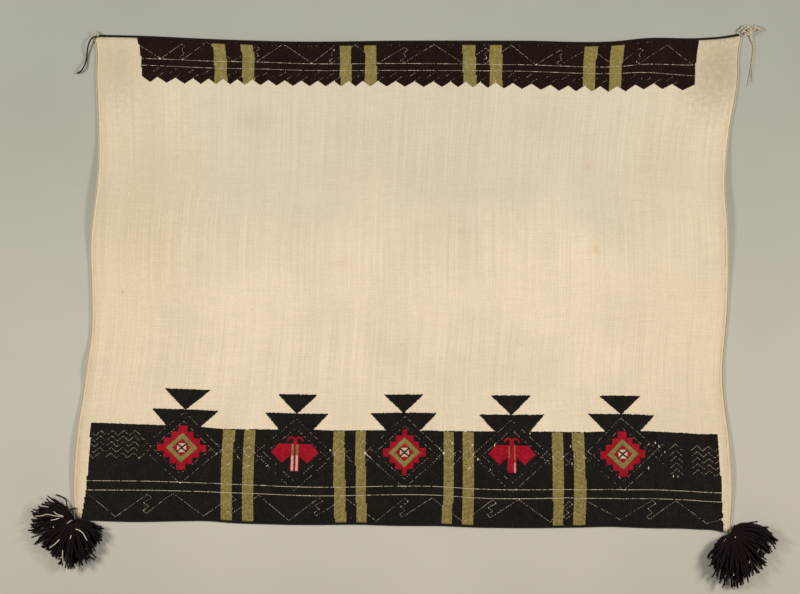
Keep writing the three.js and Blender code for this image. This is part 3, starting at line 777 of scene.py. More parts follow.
def fill(chart, outline, piece, wool_name, ragged=0.0):
    """Covers an area with stitches of one wool. Its upper edge is as ragged as asked."""
    across = chart["across"]
    up = chart["up"] + (ragged * chance.uniform(-1, 1, COLUMNS))[:, None]
    inside = np.zeros(across.shape, bool)
    for (x, y), (next_x, next_y) in zip(outline, [*outline[1:], outline[0]]):
        if y == next_y:
            continue
        crossed = x + (up - y) / (next_y - y) * (next_x - x)
        inside ^= ((up < y) != (up < next_y)) & (across < crossed)
    if (piece, wool_name) not in chart["pieces"]:
        chart["pieces"].append((piece, wool_name))
    chart["stitched"][inside] = chart["pieces"].index((piece, wool_name)) + 1


def part(chart, route, gap=THIN_LINE, closed=LINE_CLOSED):
    """Leaves the cloth bare along a route. A few columns are closed, and the others vary."""
    gaps = gap * chance.uniform(*GAPS_VARY, COLUMNS) * (chance.uniform(0, 1, COLUMNS) > closed)
    for (x, y), (next_x, next_y) in zip(route, route[1:]):
        first = max(int((min(x, next_x) - gap) / COLUMN), 0)
        last = int((max(x, next_x) + gap) / COLUMN) + 1
        across = chart["across"][first:last]
        up = chart["up"][first:last]
        length = math.hypot(next_x - x, next_y - y)
        share = ((across - x) * (next_x - x) + (up - y) * (next_y - y)) / length ** 2
        share = np.clip(share, 0, 1)
        distance = np.hypot(across - x - share * (next_x - x), up - y - share * (next_y - y))
        chart["stitched"][first:last][distance < gaps[first:last, None] / 2] = 0


def stitch_rows(covered, low, phase):
    """The stitches up one column, as pairs of lower and upper ends."""
    ends = np.flatnonzero(np.diff(np.concatenate([[0], covered, [0]])))
    for start, stop in ends.reshape(-1, 2) * ROW + low:
        if stop - start < SHORTEST_STITCH:
            continue
        joins = np.arange(start - (start - phase) % STITCH, stop, STITCH)
        joins = joins[(joins > start + END_STITCH) & (joins < stop - END_STITCH)]
        yield from zip([start, *joins], [*joins, stop])


def stitch_points(chart, piece):
    """A point for each stitch of a piece, with its direction, size, shade and wool."""
    low = chart["up"][0, 0] - ROW / 2
    wools = [wool_name for name, wool_name in chart["pieces"] if name == piece]
    found = []
    for number, wool_name in enumerate(wools):
        code = chart["pieces"].index((piece, wool_name)) + 1
        covered = chart["stitched"] == code
        for column in np.flatnonzero(covered.any(1)):
            for start, stop in stitch_rows(covered[column].astype(int), low, column_phase[column]):
                found.append((column, start, stop, number))
    column, start, stop, number = np.array(found).T
    count = len(column)
    across = (column + 0.5) * COLUMN + np.where(column % 2, -PAIR_SHIFT, PAIR_SHIFT)
    across = (across + chance.normal(0, STRAY, count)) * MILLIMETRE
    start = (start - STITCH_OVERLAP / 2) * MILLIMETRE
    stop = (stop + STITCH_OVERLAP / 2) * MILLIMETRE
    foot = np.stack([*lay(across, start), underside(across, start)], -1)
    head = np.stack([*lay(across, stop), underside(across, stop)], -1)
    along = head - foot
    length = np.linalg.norm(along, axis=1)
    middle = (head + foot) / 2
    middle[:, 2] += CLOTH_THICKNESS
    turn = np.arctan2(-along[:, 0], along[:, 1]) + chance.normal(0, TURN, count)
    lean = np.arctan2(along[:, 2], np.hypot(along[:, 0], along[:, 1]))
    points = mesh_of("stitch_points", middle, [])
    width = STITCH_WIDTH * MILLIMETRE * chance.uniform(*WIDTHS_VARY, count)
    height = STITCH_HEIGHT * chance.uniform(*HEIGHTS_VARY, count)
    give(points, "aim", "FLOAT_VECTOR", np.stack([lean, np.zeros(count), turn], -1))
    give(points, "size", "FLOAT_VECTOR", np.stack([width, length, height], -1))
    give(points, "shade", "FLOAT", chance.uniform(0, 1, count))
    give(points, "wool", "FLOAT", number)
    return points, wools


def stitching():
    """Sets one rounded stitch on every point, drawn in and sunk at its two ends."""
    tree, given, out = new_tree("stitching", {
        "Wool": "Material", "Second wool": "Material", "Third wool": "Material", "Draw in": "Float",
        "Sink": "Float"})
    bar = node(tree, "GeometryNodeMeshCylinder", {
        "Vertices": 4, "Side Segments": 3, "Radius": 0.5, "Depth": 1.0}, fill_type="NGON")["Mesh"]
    place = node(tree, "GeometryNodeInputPosition")[0]
    wide, up, along = node(tree, "ShaderNodeSeparateXYZ", {0: place})
    end = number_node(tree, "POWER", product(tree, number_node(tree, "ABSOLUTE", along), 2.0), 3.0)
    wide = product(tree, wide, one_less(tree, end, given["Draw in"]))
    up = product(tree, number_node(tree, "MAXIMUM", up, -0.1), 2.0)
    up = product(tree, up, one_less(tree, end, given["Sink"]))
    bar = moved(tree, bar, node(tree, "ShaderNodeCombineXYZ", {0: wide, 1: along, 2: up})[0])
    bar = node(tree, "GeometryNodeFlipFaces", {0: bar})[0]
    bar = node(tree, "GeometryNodeSetShadeSmooth", {0: bar})[0]
    turned = node(tree, "FunctionNodeEulerToRotation", {0: named_value(tree, "aim", "FLOAT_VECTOR")})[0]
    stitches = node(tree, "GeometryNodeInstanceOnPoints", {
        "Points": given["Geometry"], "Instance": bar, "Rotation": turned,
        "Scale": named_value(tree, "size", "FLOAT_VECTOR")})[0]
    stitches = node(tree, "GeometryNodeRealizeInstances", {0: stitches})[0]
    for number, label in enumerate(("Wool", "Second wool", "Third wool")):
        stitches = coloured(tree, stitches, given[label], "wool", number - 0.5)
    tree.links.new(stitches, out[0])
    return tree


STITCHING = stitching()
STITCH_WOOLS = {
    "black": wool("black_wool", (26, 20, 15), (44, 36, 28), (8, 6, 5)),
    "brown": wool("dark_brown_wool", (29, 11, 4), (48, 24, 12), (9, 4, 2)),
    "green": wool("green_wool", (142, 126, 68), (169, 154, 96), (95, 81, 36)),
    "olive": wool("olive_wool", (134, 126, 66), (160, 150, 92), (90, 82, 40)),
    "red": wool("red_wool", (164, 11, 34), (194, 36, 56), (104, 5, 17)),
    "cream": wool("cream_wool", (205, 184, 152), (226, 208, 178), (160, 138, 108), sheen=0.05),
}


def embroider(chart, piece, cad_node):
    """Works one piece of a chart, in place of its plain slab."""
    points, wools = stitch_points(chart, piece)
    materials = [STITCH_WOOLS[wool_name] for wool_name in [*wools, wools[-1], wools[-1]]]
    made = grown(
        piece, points, STITCHING, wool=materials[0], second_wool=materials[1], third_wool=materials[2],
        draw_in=0.2, sink=0.5)
    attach(made, "root")
    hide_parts(cad_node)


def about(middle, points):
    """Moves points to a middle."""
    return [(middle[0] + across, middle[1] + up) for across, up in points]


def read_straight(table, at):
    """Reads a table of pairs on straight lines between them."""
    return np.interp(at, *zip(*table))


def bar_outline(foot, head, wide, low, high):
    """The four corners of a bar, from the middles of its foot and head."""
    half = wide / 2
    return [(foot - half, low), (foot + half, low), (head + half, high), (head - half, high)]


# The bottom band: black wool, with five stepped clouds standing on its upper edge. Two bare lines run
# along it, with a line of hooks under them and a comb of chevrons at each end.
BAND_LEFT = [
    (13, -1.5), (17, 15), (21.5, 37), (25.9, 63), (28.5, 100), (29.3, 130), (28.5, 175), (26.4, 215),
]
BAND_TOP = [
    (27, 214.5), (112, 211), (190, 208.5), (267, 206.6), (320, 204.6), (399, 207.8), (511, 211), (560, 209),
    (679, 207), (795, 206.3), (919, 212), (1038, 213), (1161, 209.5), (1232, 208), (1302, 206.3),
    (1368, 206.4), (1407, 209.7),
]
BAND_RIGHT = [(1407.4, 209.7), (1406.5, 152), (1407.4, 124), (1408.4, 78), (1411.7, 43), (1417, -1.5)]
CLOUDS = [  # middle, half widths of its foot, brim and crown, heights of its brim and crown, slope
    (231, 28, 73.5, 51, 245.3, 291, -0.013),
    (478, 27, 70, 44, 246.7, 289.7, 0.004),
    (715, 29, 73.5, 44, 246.3, 287.5, 0.0),
    (954.5, 26, 72.3, 45, 249.7, 292.8, 0.020),
    (1197.5, 28, 73, 46, 246.8, 288, -0.055),
]
CLOUD_FOOT = 198
BOTTOM_LINES = [
    [(12, 85), (164, 82), (251, 80), (400, 82), (720, 81), (905, 81.5), (1060, 84), (1167, 79.5),
     (1200, 77.5), (1312, 76.8), (1365, 78), (1420, 81.5)],
    [(12, 63.8), (251, 60.3), (400, 62.8), (720, 61.8), (905, 61.3), (1070, 65), (1167, 59.5), (1200, 57.5),
     (1312, 57.3), (1365, 58.3), (1420, 61)],
]
# The line of hooks: each valley, the top of its hook, and the plain peak after it
HOOKS = [
    [(88, 6), (160, 53), (215, 55)],
    [(281, 7), (344, 54), (402, 59)],
    [(467, 6), (533, 58), (589, 57)],
    [(658, 5), (720, 54), (779, 55)],
    [(848, 7), (911, 59), (968, 61)],
    [(1038, 10), (1077, 57), (1116, 56)],
    [(1190, 12), (1259, 54), (1310, 54)],
]
HOOK = [(7.7, -7.5), (-9.7, -18.3), (1.1, -25.9), (-10.6, -33.8), (-4.4, -40.2)]
HOOKS_LEFT_END = (24, 59)
HOOKS_RIGHT_END = [(1380, 10), (1403, 19), (1414, 27)]
HOOK_LINE = 1.0
COMBS = [  # first and last across, a crest, height of the uppermost crest, from one row to the next
    (29, 60, 51, 197, 12.6),
    (66, 138, 76, 197, 12.6),
    (1299, 1325, 1312, 181, 13.8),
    (1346, 1407, 1359, 181, 13.4),
]
COMB_LINE = 1.0
COMB_PERIOD = 25
COMB_HALF_PERIODS = 6
COMB_DEPTH = 11.5
COMB_ROWS = 5
EDGE_RAGGED = 0.6
CLOUDS_RAGGED = 0.8

bottom = open_chart(-3, 300)
fill(bottom, [*BAND_LEFT, *BAND_TOP, *BAND_RIGHT], "bottom_ground_left", "black", EDGE_RAGGED)
for middle, foot, brim, crown, brim_up, crown_up, slope in CLOUDS:
    lower = [
        (middle - foot, CLOUD_FOOT), (middle + foot, CLOUD_FOOT), (middle + brim, brim_up + slope * brim),
        (middle - brim, brim_up - slope * brim)]
    upper = [
        (middle, brim_up - 1), (middle + crown, crown_up + slope * crown),
        (middle - crown, crown_up - slope * crown)]
    for outline in (lower, upper):
        fill(bottom, outline, "bottom_ground_left", "black", CLOUDS_RAGGED)

# Bars of green wool: middle at the foot, middle at the head, width
BOTTOM_BARS = [
    (330, 332, 25), (377, 377, 23), (580, 573, 25), (626, 620, 22), (813, 815, 22), (857, 858, 24),
    (1055, 1053, 24), (1102, 1099, 26),
]
BARS_FOOT = 1.5
BARS_UNDER_EDGE = 1.5
for number, bar in enumerate(BOTTOM_BARS, 1):
    bar_top = read_straight(BAND_TOP, bar[1]) - BARS_UNDER_EDGE
    fill(bottom, bar_outline(*bar, BARS_FOOT, bar_top), f"green_bar_{number}", "green")

# The diamonds: stepped red squares on their corners, with an olive ring and a cream heart crossed in
# black. The butterflies: red wings and body, striped with olive and cream, and two curled feelers.
DIAMONDS = {"left": (COLUMN * 94, 158.5), "middle": (COLUMN * 293, 157), "right": (COLUMN * 488, 157)}
BUTTERFLIES = {"left": (COLUMN * 195, 154), "right": (COLUMN * 389, 157)}
DIAMOND_STEPS = {  # half width, top
    "left": [(10, 50), (24, 36), (38, 22), (55, 8)],
    "middle": [(5.5, 52), (19, 38), (31.5, 24), (46, 9.5)],
    "right": [(10, 50.5), (22, 36), (36, 22.5), (49, 9)],
}
RING_OUTER = 34
RING_INNER = 20.5
HEART = (11, 10)
HEART_LINE = 3.4
WING = [(0, 25), (36, 24), (52, 4), (28, -19), (10, -3), (10, -37), (0, -37)]
BODY = [(-2.6, -37), (2.6, -37), (2.6, 24), (5.5, 27), (2.6, 36), (-2.6, 36), (-5.5, 27), (-2.6, 24)]
STRIPES = {  # nearer and further side, top, foot and wool
    "left": [
        (-7.5, -2.4, 23, -2, "olive"), (-7.5, -2.4, -2, -37, "cream"),
        (2.4, 7.5, 23, -2, "olive"), (2.4, 7.5, -2, -37, "cream"),
    ],
    "right": [
        (-7.5, -4.8, 22, -4, "olive"), (4.8, 7.5, 24, -10, "olive"), (4.8, 7.5, -14, -37, "cream"),
    ],
}
FEELER = [(1, 34), (4, 38), (8, 39.5), (12, 38), (17, 31)]
FEELER_WIDTH = 4.2


def both_sides(points):
    """A shape and its mirror image."""
    return [points, [(-across, up) for across, up in points]]


def stepped(steps):
    """The outline of a stepped diamond, from half of its steps."""
    quarter = []
    for number, (half, top) in enumerate(steps):
        base = steps[number + 1][1] if number + 1 < len(steps) else -top
        quarter += [(half, top), (half, base)]
    side = quarter + [(across, -up) for across, up in reversed(quarter[:-2])]
    return side + [(-across, up) for across, up in reversed(side)]


def diamond(wide, high):
    """A plain diamond, by its half width and half height."""
    return [(wide, 0), (0, high), (-wide, 0), (0, -high)]


def ribbon(route, width):
    """The outline of a line of some width."""
    points = np.array(route, float)
    along = np.gradient(points, axis=0)
    along /= np.linalg.norm(along, axis=1)[:, None]
    aside = np.stack([-along[:, 1], along[:, 0]], -1) * width / 2
    return [*map(tuple, points + aside), *map(tuple, (points - aside)[::-1])]


for side, middle in DIAMONDS.items():
    piece = f"red_diamond_{side}"
    fill(bottom, about(middle, stepped(DIAMOND_STEPS[side])), piece, "red")
    fill(bottom, about(middle, diamond(RING_OUTER, RING_OUTER)), piece, "olive")
    fill(bottom, about(middle, diamond(RING_INNER, RING_INNER)), piece, "red")
    wide, high = HEART
    heart = [(-wide, -high), (wide, -high), (wide, high), (-wide, high)]
    fill(bottom, about(middle, heart), piece, "cream")
    for corner in ((wide, high), (wide, -high)):
        cross = [(-corner[0], -corner[1]), corner]
        fill(bottom, about(middle, ribbon(cross, HEART_LINE)), "bottom_ground_left", "black")

for side, middle in BUTTERFLIES.items():
    piece = f"red_butterfly_{side}"
    for wing, feeler in zip(both_sides(WING), both_sides(FEELER)):
        fill(bottom, about(middle, wing), piece, "red")
        fill(bottom, about(middle, ribbon(feeler, FEELER_WIDTH)), piece, "red")
    for low, high, head, foot, wool_name in STRIPES[side]:
        stripe = [(low, head), (high, head), (high, foot), (low, foot)]
        fill(bottom, about(middle, stripe), piece, wool_name)
    fill(bottom, about(middle, BODY), piece, "red")

# Bare lines round each motif: an outer diamond, and an inner one whose sides run on past its corners
OUTER_LINE = (87, 81)
INNER_LINE = (65, 60)
INNER_RUN_ON = 0.42
MOTIF_LINE = 0.95
MOTIFS_CLOSED = (0.3, 0.65)
for wide, high in (OUTER_LINE, INNER_LINE):
    run_on = INNER_RUN_ON if (wide, high) == INNER_LINE else 0.0
    for middle in [*DIAMONDS.values(), *BUTTERFLIES.values()]:
        for across, up in ((wide, high), (wide, -high), (-wide, high), (-wide, -high)):
            past = (across * (1 + run_on), -up * run_on)
            part(bottom, about(middle, [(0, up), past]), MOTIF_LINE, chance.uniform(*MOTIFS_CLOSED))

# Bare lines on each bar: a chevron, a diamond and a V. Small diamonds link the bars of a pair.
BAR_MIDDLE = 157
BAR_HEAD = 207
BAR_LINES = [
    [(-12, 22), (0, 33), (12, 22)],
    [(-12, 0), (0, 12), (12, 0), (0, -12), (-12, 0)],
    [(-12, -22), (0, -33), (12, -22)],
]
LINK = [(-10, 0), (0, 9), (10, 0), (0, -12), (-10, 0)]
UNDER_LINK = [(-9, -23), (0, -14), (9, -23)]
PAIR_SIDES = [[(34, 1), (44, 11)], [(34, 0), (50, -14)]]
LINK_LINE = 0.9
LINK_CLOSED = 0.35
for first, second in zip(BOTTOM_BARS[::2], BOTTOM_BARS[1::2]):
    middles = [np.interp(BAR_MIDDLE, (BARS_FOOT, BAR_HEAD), bar[:2]) for bar in (first, second)]
    for middle in middles:
        for line in BAR_LINES:
            part(bottom, about((middle, BAR_MIDDLE), line))
    between = (sum(middles) / 2, BAR_MIDDLE)
    part(bottom, about(between, LINK), LINK_LINE, LINK_CLOSED)
    part(bottom, about(between, UNDER_LINK), LINK_LINE, LINK_CLOSED)
    for line in PAIR_SIDES:
        for mirrored in both_sides(line):
            part(bottom, about(between, mirrored), LINK_LINE, LINK_CLOSED)

for line in BOTTOM_LINES:
    part(bottom, line, BROAD_LINE, BROAD_CLOSED)
hooks = [HOOKS_LEFT_END]
for valley, hook_top, peak in HOOKS:
    hooks += [valley, hook_top, *about(hook_top, HOOK), peak]
part(bottom, [*hooks, *HOOKS_RIGHT_END], HOOK_LINE)

for first, last, crest, top_crest, pitch in COMBS:
    steps = range(-COMB_HALF_PERIODS, COMB_HALF_PERIODS + 1)
    turns = [crest + COMB_PERIOD / 2 * step for step in steps]
    turns = [first, *[turn for turn in turns if first < turn < last], last]
    for row in range(COMB_ROWS):
        line = []
        for across in turns:
            share = abs((across - crest) / COMB_PERIOD - round((across - crest) / COMB_PERIOD)) * 2
            line.append((across, top_crest - row * pitch - COMB_DEPTH * share))
        part(bottom, line, COMB_LINE)

# Places where the wool has worn away: (across, up, length)
WORN_WIDTH = 2.4
WORN_LEAN = 0.6
WORN = [
    (823, 181, 3), (866, 180, 3), (861, 172, 2), (860, 128, 2), (915, 181, 5), (994, 209, 4), (905, 126, 2),
    (1275, 175, 5), (1268, 182, 3), (1288, 162, 3), (1250, 124, 8), (1304, 109, 4), (1314, 108, 3),
    (1082, 180, 4), (1084, 141, 4), (1252, 178, 3), (1412, 22, 3), (419, 127, 3),
]
for across, up, length in WORN:
    worn = [(across - WORN_LEAN, up - length / 2), (across + WORN_LEAN, up + length / 2)]
    part(bottom, worn, WORN_WIDTH, 0.0)

# The black ground is worked as two pieces, because one would have too many stitches
left_code = bottom["pieces"].index(("bottom_ground_left", "black")) + 1
bottom["pieces"].append(("bottom_ground_right", "black"))
right_side = bottom["stitched"][COLUMNS // 2:]
right_side[right_side == left_code] = len(bottom["pieces"])

for side in ("left", "right"):
    embroider(bottom, f"bottom_ground_{side}", "bottom_band")
for number in range(1, len(BOTTOM_BARS) + 1):
    embroider(bottom, f"green_bar_{number}", f"bottom_bar_{number}")
for side in DIAMONDS:
    embroider(bottom, f"red_diamond_{side}", f"diamond_{side}")
for side in BUTTERFLIES:
    embroider(bottom, f"red_butterfly_{side}", f"butterfly_{side}")


# The top band: dark brown wool with a sawtooth lower edge, crossed by eight green bars. Bare lines
# run along it, with hooks over them, and slanting dashes stand over its teeth.
HIGH_LEFT = 93
HIGH_RIGHT = 1338
LOW_LEFT = 101
LOW_RIGHT = 1335
TOP_BARS = [
    (279, 272, 28), (340, 335, 27), (556, 554, 25), (613, 609, 26), (835, 828, 29), (893, 888, 28),
    (1098, 1100, 28), (1157, 1159, 28),
]
TOP_BARS_FOOT = 954
TOP_BARS_HEAD = 1075
TOP_BAND_LOW = 950
TOP_BAND_HIGH = 1080
TOP_LINE = 1.2
TOP_LINE_CLOSED = 0.05
TOP_HOOKS_CLOSED = 0.15
TOOTH_FIRST = 135
TOOTH_PITCH = 37.1
TEETH = 32
TOOTH_DEPTH = 12.5
# How far the notches stray from even spacing: (across, by)
TOOTH_DRIFT = [
    (135, 0), (210, 5), (345, -10), (560, -16), (650, -27), (790, -13), (930, -24), (1050, -10),
    (1160, -12), (1285, 0),
]
# Heights along the band: the tips of its teeth, and its two lines
TOOTH_TIPS = [
    (118, 981.8), (191, 981.2), (267, 983.7), (359, 984.8), (477, 985), (582, 983.7), (725, 980.9),
    (846, 980.5), (947, 977.5), (1032, 975.2), (1108, 974.6), (1180, 969.9), (1265, 971.1), (1303, 969.2),
]
UPPER_LINE = [
    (94, 1034), (243, 1034.7), (377, 1036.8), (467, 1035), (645, 1033.8), (869, 1032), (1047, 1030.3),
    (1181, 1026.8), (1340, 1025),
]
LOWER_LINE = [
    (94, 1018.7), (243, 1019.2), (378, 1021.3), (512, 1019.5), (691, 1017.8), (914, 1017.1), (1093, 1014.9),
    (1182, 1010.8), (1271, 1005), (1340, 1001),
]
TOP_HOOKS_START = 1062
TOP_HOOK_VALLEYS = [141, 303, 478, 627, 817, 979, 1158, 1330]
# A hook: (share of the way from its valley to the next, height over the upper line)
TOP_HOOK = [(0, 1), (0.3, 36), (0.345, 31), (0.29, 23), (0.325, 14), (0.26, 7), (0.305, 2), (0.65, 43)]
DASH = [(-7, -5), (7, 5)]
# Where the dashes lie from each notch between two teeth: (across, height over the lower line)
DASHES = [(-6, -10), (7, -19)]
DASH_CLOSED = 0.3
BAR_DASH = [(-8, -8), (8, 6)]
BAR_DASH_UP = 1000
BAR_DASH_UNDER = 20
# The row of dots along the top edge
DOT = [(-1.5, 0), (1.5, 0)]
DOT_PITCH = 9.8
DOTS_UP = 1075
DOT_LINE = 1.2
DOTS_CLOSED = 0.8


def tooth_valley(number):
    """Where the notch before a tooth is."""
    even = TOOTH_FIRST + TOOTH_PITCH * number
    return even + float(read(TOOTH_DRIFT, np.array(min(even, TOOTH_DRIFT[-1][0]))))


valleys = [tooth_valley(number) for number in range(TEETH)]
notches = [LOW_LEFT, *valleys, LOW_RIGHT]
saw = []
for here, after in zip(notches, notches[1:]):
    tip = (here + after) / 2
    saw += [(here, read_straight(TOOTH_TIPS, here) + TOOTH_DEPTH), (tip, read_straight(TOOTH_TIPS, tip))]
saw.append((LOW_RIGHT, read_straight(TOOTH_TIPS, LOW_RIGHT) + TOOTH_DEPTH))

top = open_chart(TOP_BAND_LOW, TOP_BAND_HIGH)
fill(top, [*saw, (HIGH_RIGHT, TOP_BAND_HIGH), (HIGH_LEFT, TOP_BAND_HIGH)], "top_ground", "brown")
ground = top["stitched"].copy()
for number, bar in enumerate(TOP_BARS, 1):
    fill(top, bar_outline(*bar, TOP_BARS_FOOT, TOP_BARS_HEAD), f"green_top_bar_{number}", "green")
top["stitched"][ground == 0] = 0

for line in (UPPER_LINE, LOWER_LINE):
    part(top, line, TOP_LINE, TOP_LINE_CLOSED)
hooks = [(HIGH_LEFT + 4, TOP_HOOKS_START)]
for valley, after in zip(TOP_HOOK_VALLEYS, TOP_HOOK_VALLEYS[1:]):
    for share, up in TOP_HOOK:
        across = valley + (after - valley) * share
        hooks.append((across, read_straight(UPPER_LINE, across) + up))
hooks.append((after, read_straight(UPPER_LINE, after) + 1))
part(top, hooks, HOOK_LINE, TOP_HOOKS_CLOSED)
for valley in valleys:
    for aside, lower in DASHES:
        across = valley + aside
        up = read_straight(LOWER_LINE, across) + lower
        part(top, about((across, up), DASH), MOTIF_LINE, DASH_CLOSED)
for bar in TOP_BARS:
    across = np.interp(BAR_DASH_UP, (TOP_BARS_FOOT, TOP_BARS_HEAD), bar[:2])
    up = read_straight(LOWER_LINE, across) - BAR_DASH_UNDER
    part(top, about((across, up), BAR_DASH), MOTIF_LINE)
for across in np.arange(HIGH_LEFT + 5, HIGH_RIGHT, DOT_PITCH):
    part(top, about((across, DOTS_UP), DOT), DOT_LINE, DOTS_CLOSED)

embroider(top, "top_ground", "top_band")
for number in range(1, len(TOP_BARS) + 1):
    embroider(top, f"green_top_bar_{number}", f"top_bar_{number}")


# The tassels: a few hundred cut lengths of thick dark brown yarn, tied to each lower corner with a
# turn of the same yarn. They fan out over the surface, with some ends of cream yarn among them.
YARN = 4
TASSEL_LAYERS = 6
YARNS_A_LAYER = 44
YARN_ROOT = 1
YARN_STATIONS = 8
# How high the lowest yarns lie, and how far each layer rises over the one under it: (share of reach, rise)
YARN_LIES = 2.3
LAYER_RISE = [(0, 3), (0.18, 3.4), (0.42, 4.3), (0.7, 4.1), (1, 3.7)]
LAYER_SHORTENS = 0.055
# Each tassel, in millimetres and degrees: its root; how far its yarns reach in each direction, how far
# round they start from it, and how far their ends spring up; and its pale and odd yarns, which lie on top
TASSELS = {
    "left": {
        "root": (-724.5, -528.5),
        "fan": [
            (118, 28), (128, 46), (136, 62), (143, 77), (155, 80), (169, 94), (187, 96), (200, 101),
            (214, 103), (224, 91), (232, 87), (248, 96), (256, 107), (277, 106), (290, 97), (297, 92),
            (310, 78), (332, 79), (343, 63), (355, 36),
        ],
        "curls": [(118, -10), (143, -40), (170, -12), (200, 0), (275, 2), (290, 8), (310, 16), (355, 30)],
        "springs": [(118, 0), (355, 0)],
        "pale": [
            [(-743.3, -517.2), (-756, -513), (-764, -507)],
            [(-744.5, -518.5), (-760, -516.5), (-779, -513), (-790, -516), (-806, -517)],
            [(-752, -521), (-760, -524), (-771, -526)],
            [(-736.2, -534), (-731, -530), (-725.5, -526.2)],
            [(-716.4, -546.2), (-708, -548), (-699, -556), (-690.9, -570.9)],
            [(-764, -540), (-766, -542)],
            [(-727, -560), (-728, -567)],
            [(-752, -568), (-758, -575), (-764, -580), (-774, -587)],
            [(-744.7, -592), (-745.2, -606), (-744, -620)],
            [(-753, -610), (-745.5, -606.5)],
        ],
        "odd": [
            [(-732, -515, 14), (-737, -503.6, 9), (-740, -486, 5), (-748, -477.5, 3), (-763.7, -471.7, 2)],
            [(-726.2, -530, 18), (-731, -515, 14), (-730, -505, 8), (-725, -501.8, 6.5), (-719, -500.8, 6)],
            [(-723.5, -529, 19), (-721.5, -523.5, 21), (-722.5, -519, 15), (-726, -520, 11)],
        ],
    },
    "right": {
        "root": (737, -558.5),
        "fan": [
            (205, 30), (211, 42), (219, 62), (226, 75), (236, 88), (250, 104), (260, 116), (270, 122),
            (280, 114), (292, 106), (310, 102), (322, 92), (333, 91), (344, 100), (355, 99), (366, 82),
            (374, 56),
        ],
        "curls": [
            (205, -22), (236, -22), (262, -5), (275, 0), (292, 12), (310, 25), (333, 45), (344, 55),
            (374, 72),
        ],
        "springs": [(205, 1), (218, 8), (255, 8), (275, 3), (300, 0), (374, 0)],
        "pale": [
            [(740, -562.5), (742, -565.5)],
            [(793, -590), (790, -596)],
            [(772, -616), (771, -621)],
            [(719, -567), (715, -572)],
            [(736, -644), (736.6, -648)],
        ],
        "odd": [
            [(738.5, -557, 18), (740, -548, 12), (741.5, -538.5, 6)],
            [(735, -558, 18), (737.5, -550, 12), (739.5, -543, 6)],
            [(794, -544, 18), (806, -545, 12), (817, -543, 6)],
            [(800, -549, 16), (813, -553, 10), (826, -557, 4)],
        ],
    },
}
REACHES = (0.86, 1.02)
CURLS_VARY = (0.7, 1.1)
CURL_FADE = 1.2
# How far a yarn bends and sways, in degrees, how far the start of its sway varies, and how fast it sways
WANDERS = (5, 2.2, 1.6)
SWAY_TURN = 6
SPRING_POWER = 1.5
ROOT_THIN = 0.75
ROOT_THIN_TO = 0.25
PALE_THIN = 0.62
BEHIND_FAN = 60
# The yarn wound over a tassel's root
WRAP_TURNS = 3
WRAP_STATIONS = 48
WRAP_RADIUS = 7.5
WRAP_START = 0.15
WRAP_TOP = 20.5
WRAP_FOOT = 12

TASSEL_YARN = wool("tassel_yarn", (23, 13, 10), (62, 34, 27), (7, 4, 3), yarn=True)
PALE_YARN = wool("cream_yarn", (222, 208, 182), (238, 226, 204), (176, 158, 130), yarn=True)


def yarn_height(tassel, layer, angle, share):
    """How high a yarn of one layer lies at some share of its reach."""
    spring = read_straight(tassel["springs"], angle)
    return YARN_LIES + layer * read_straight(LAYER_RISE, share) + spring * share ** SPRING_POWER


def crown_height(tassel, x, y, layer):
    """How high a layer of a tassel lies at some place."""
    aside, ahead = x - tassel["root"][0], y - tassel["root"][1]
    angle = math.degrees(math.atan2(ahead, aside)) % 360
    if angle < tassel["fan"][0][0] - BEHIND_FAN:
        angle += 360
    share = math.hypot(aside, ahead) / read_straight(tassel["fan"], angle)
    return yarn_height(tassel, layer, angle, share)


def tassel_yarn(tassel, layer, index):
    """One yarn of a tassel, from its root to its cut end."""
    start, end = tassel["fan"][0][0], tassel["fan"][-1][0]
    angle = start + (end - start) * (index + chance.uniform()) / YARNS_A_LAYER
    full = read_straight(tassel["fan"], angle)
    curl = read_straight(tassel["curls"], angle) * chance.uniform(*CURLS_VARY)
    reach = full * chance.uniform(REACHES[0] - LAYER_SHORTENS * layer, REACHES[1])
    bend, sway, swing = chance.normal(0, WANDERS)
    line = []
    for station in np.linspace(0, 1, YARN_STATIONS):
        out = YARN_ROOT + (reach - YARN_ROOT) * station
        share = out / full
        turn = angle + curl * max(1 - share, 0) ** CURL_FADE + bend * share ** 2
        turn = math.radians(turn + sway * math.sin(SWAY_TURN * share + swing))
        x = tassel["root"][0] + out * math.cos(turn)
        y = tassel["root"][1] + out * math.sin(turn)
        height = yarn_height(tassel, layer, angle, share)
        line.append((x, y, height, ROOT_THIN + (1 - ROOT_THIN) * min(station / ROOT_THIN_TO, 1)))
    return laid(line, 3)


for side, tassel in TASSELS.items():
    places = [(layer, index) for layer in range(TASSEL_LAYERS) for index in range(YARNS_A_LAYER)]
    lines = [tassel_yarn(tassel, *place) for place in places]
    root = tassel["root"]
    share = np.linspace(0, 1, WRAP_STATIONS)
    round_trip = share * 2 * np.pi * WRAP_TURNS
    radius = WRAP_RADIUS * (WRAP_START + (1 - WRAP_START) * share)
    wrap = np.stack([
        root[0] + radius * np.cos(round_trip), root[1] + radius * np.sin(round_trip),
        WRAP_TOP + (WRAP_FOOT - WRAP_TOP) * share ** 2], -1)
    lines.append(wrap * MILLIMETRE)
    lines += [laid(line, 5) for line in tassel["odd"]]
    pale = range(len(lines), len(lines) + len(tassel["pale"]))
    for route in tassel["pale"]:
        over = [(x, y, crown_height(tassel, x, y, TASSEL_LAYERS), PALE_THIN) for x, y in route]
        lines.append(laid(over, 4))
    made = grown(
        f"{side}_yarn_tassel", guide_of(lines, pale), PLIED_YARN, thickness=YARN * MILLIMETRE, plies=2,
        sides=6, groove=0.25, twist=0.011, step=0.0034, seed=5, yarn=TASSEL_YARN, pale_yarn=PALE_YARN)
    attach(made, "root")
    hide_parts(f"{side}_tassel")


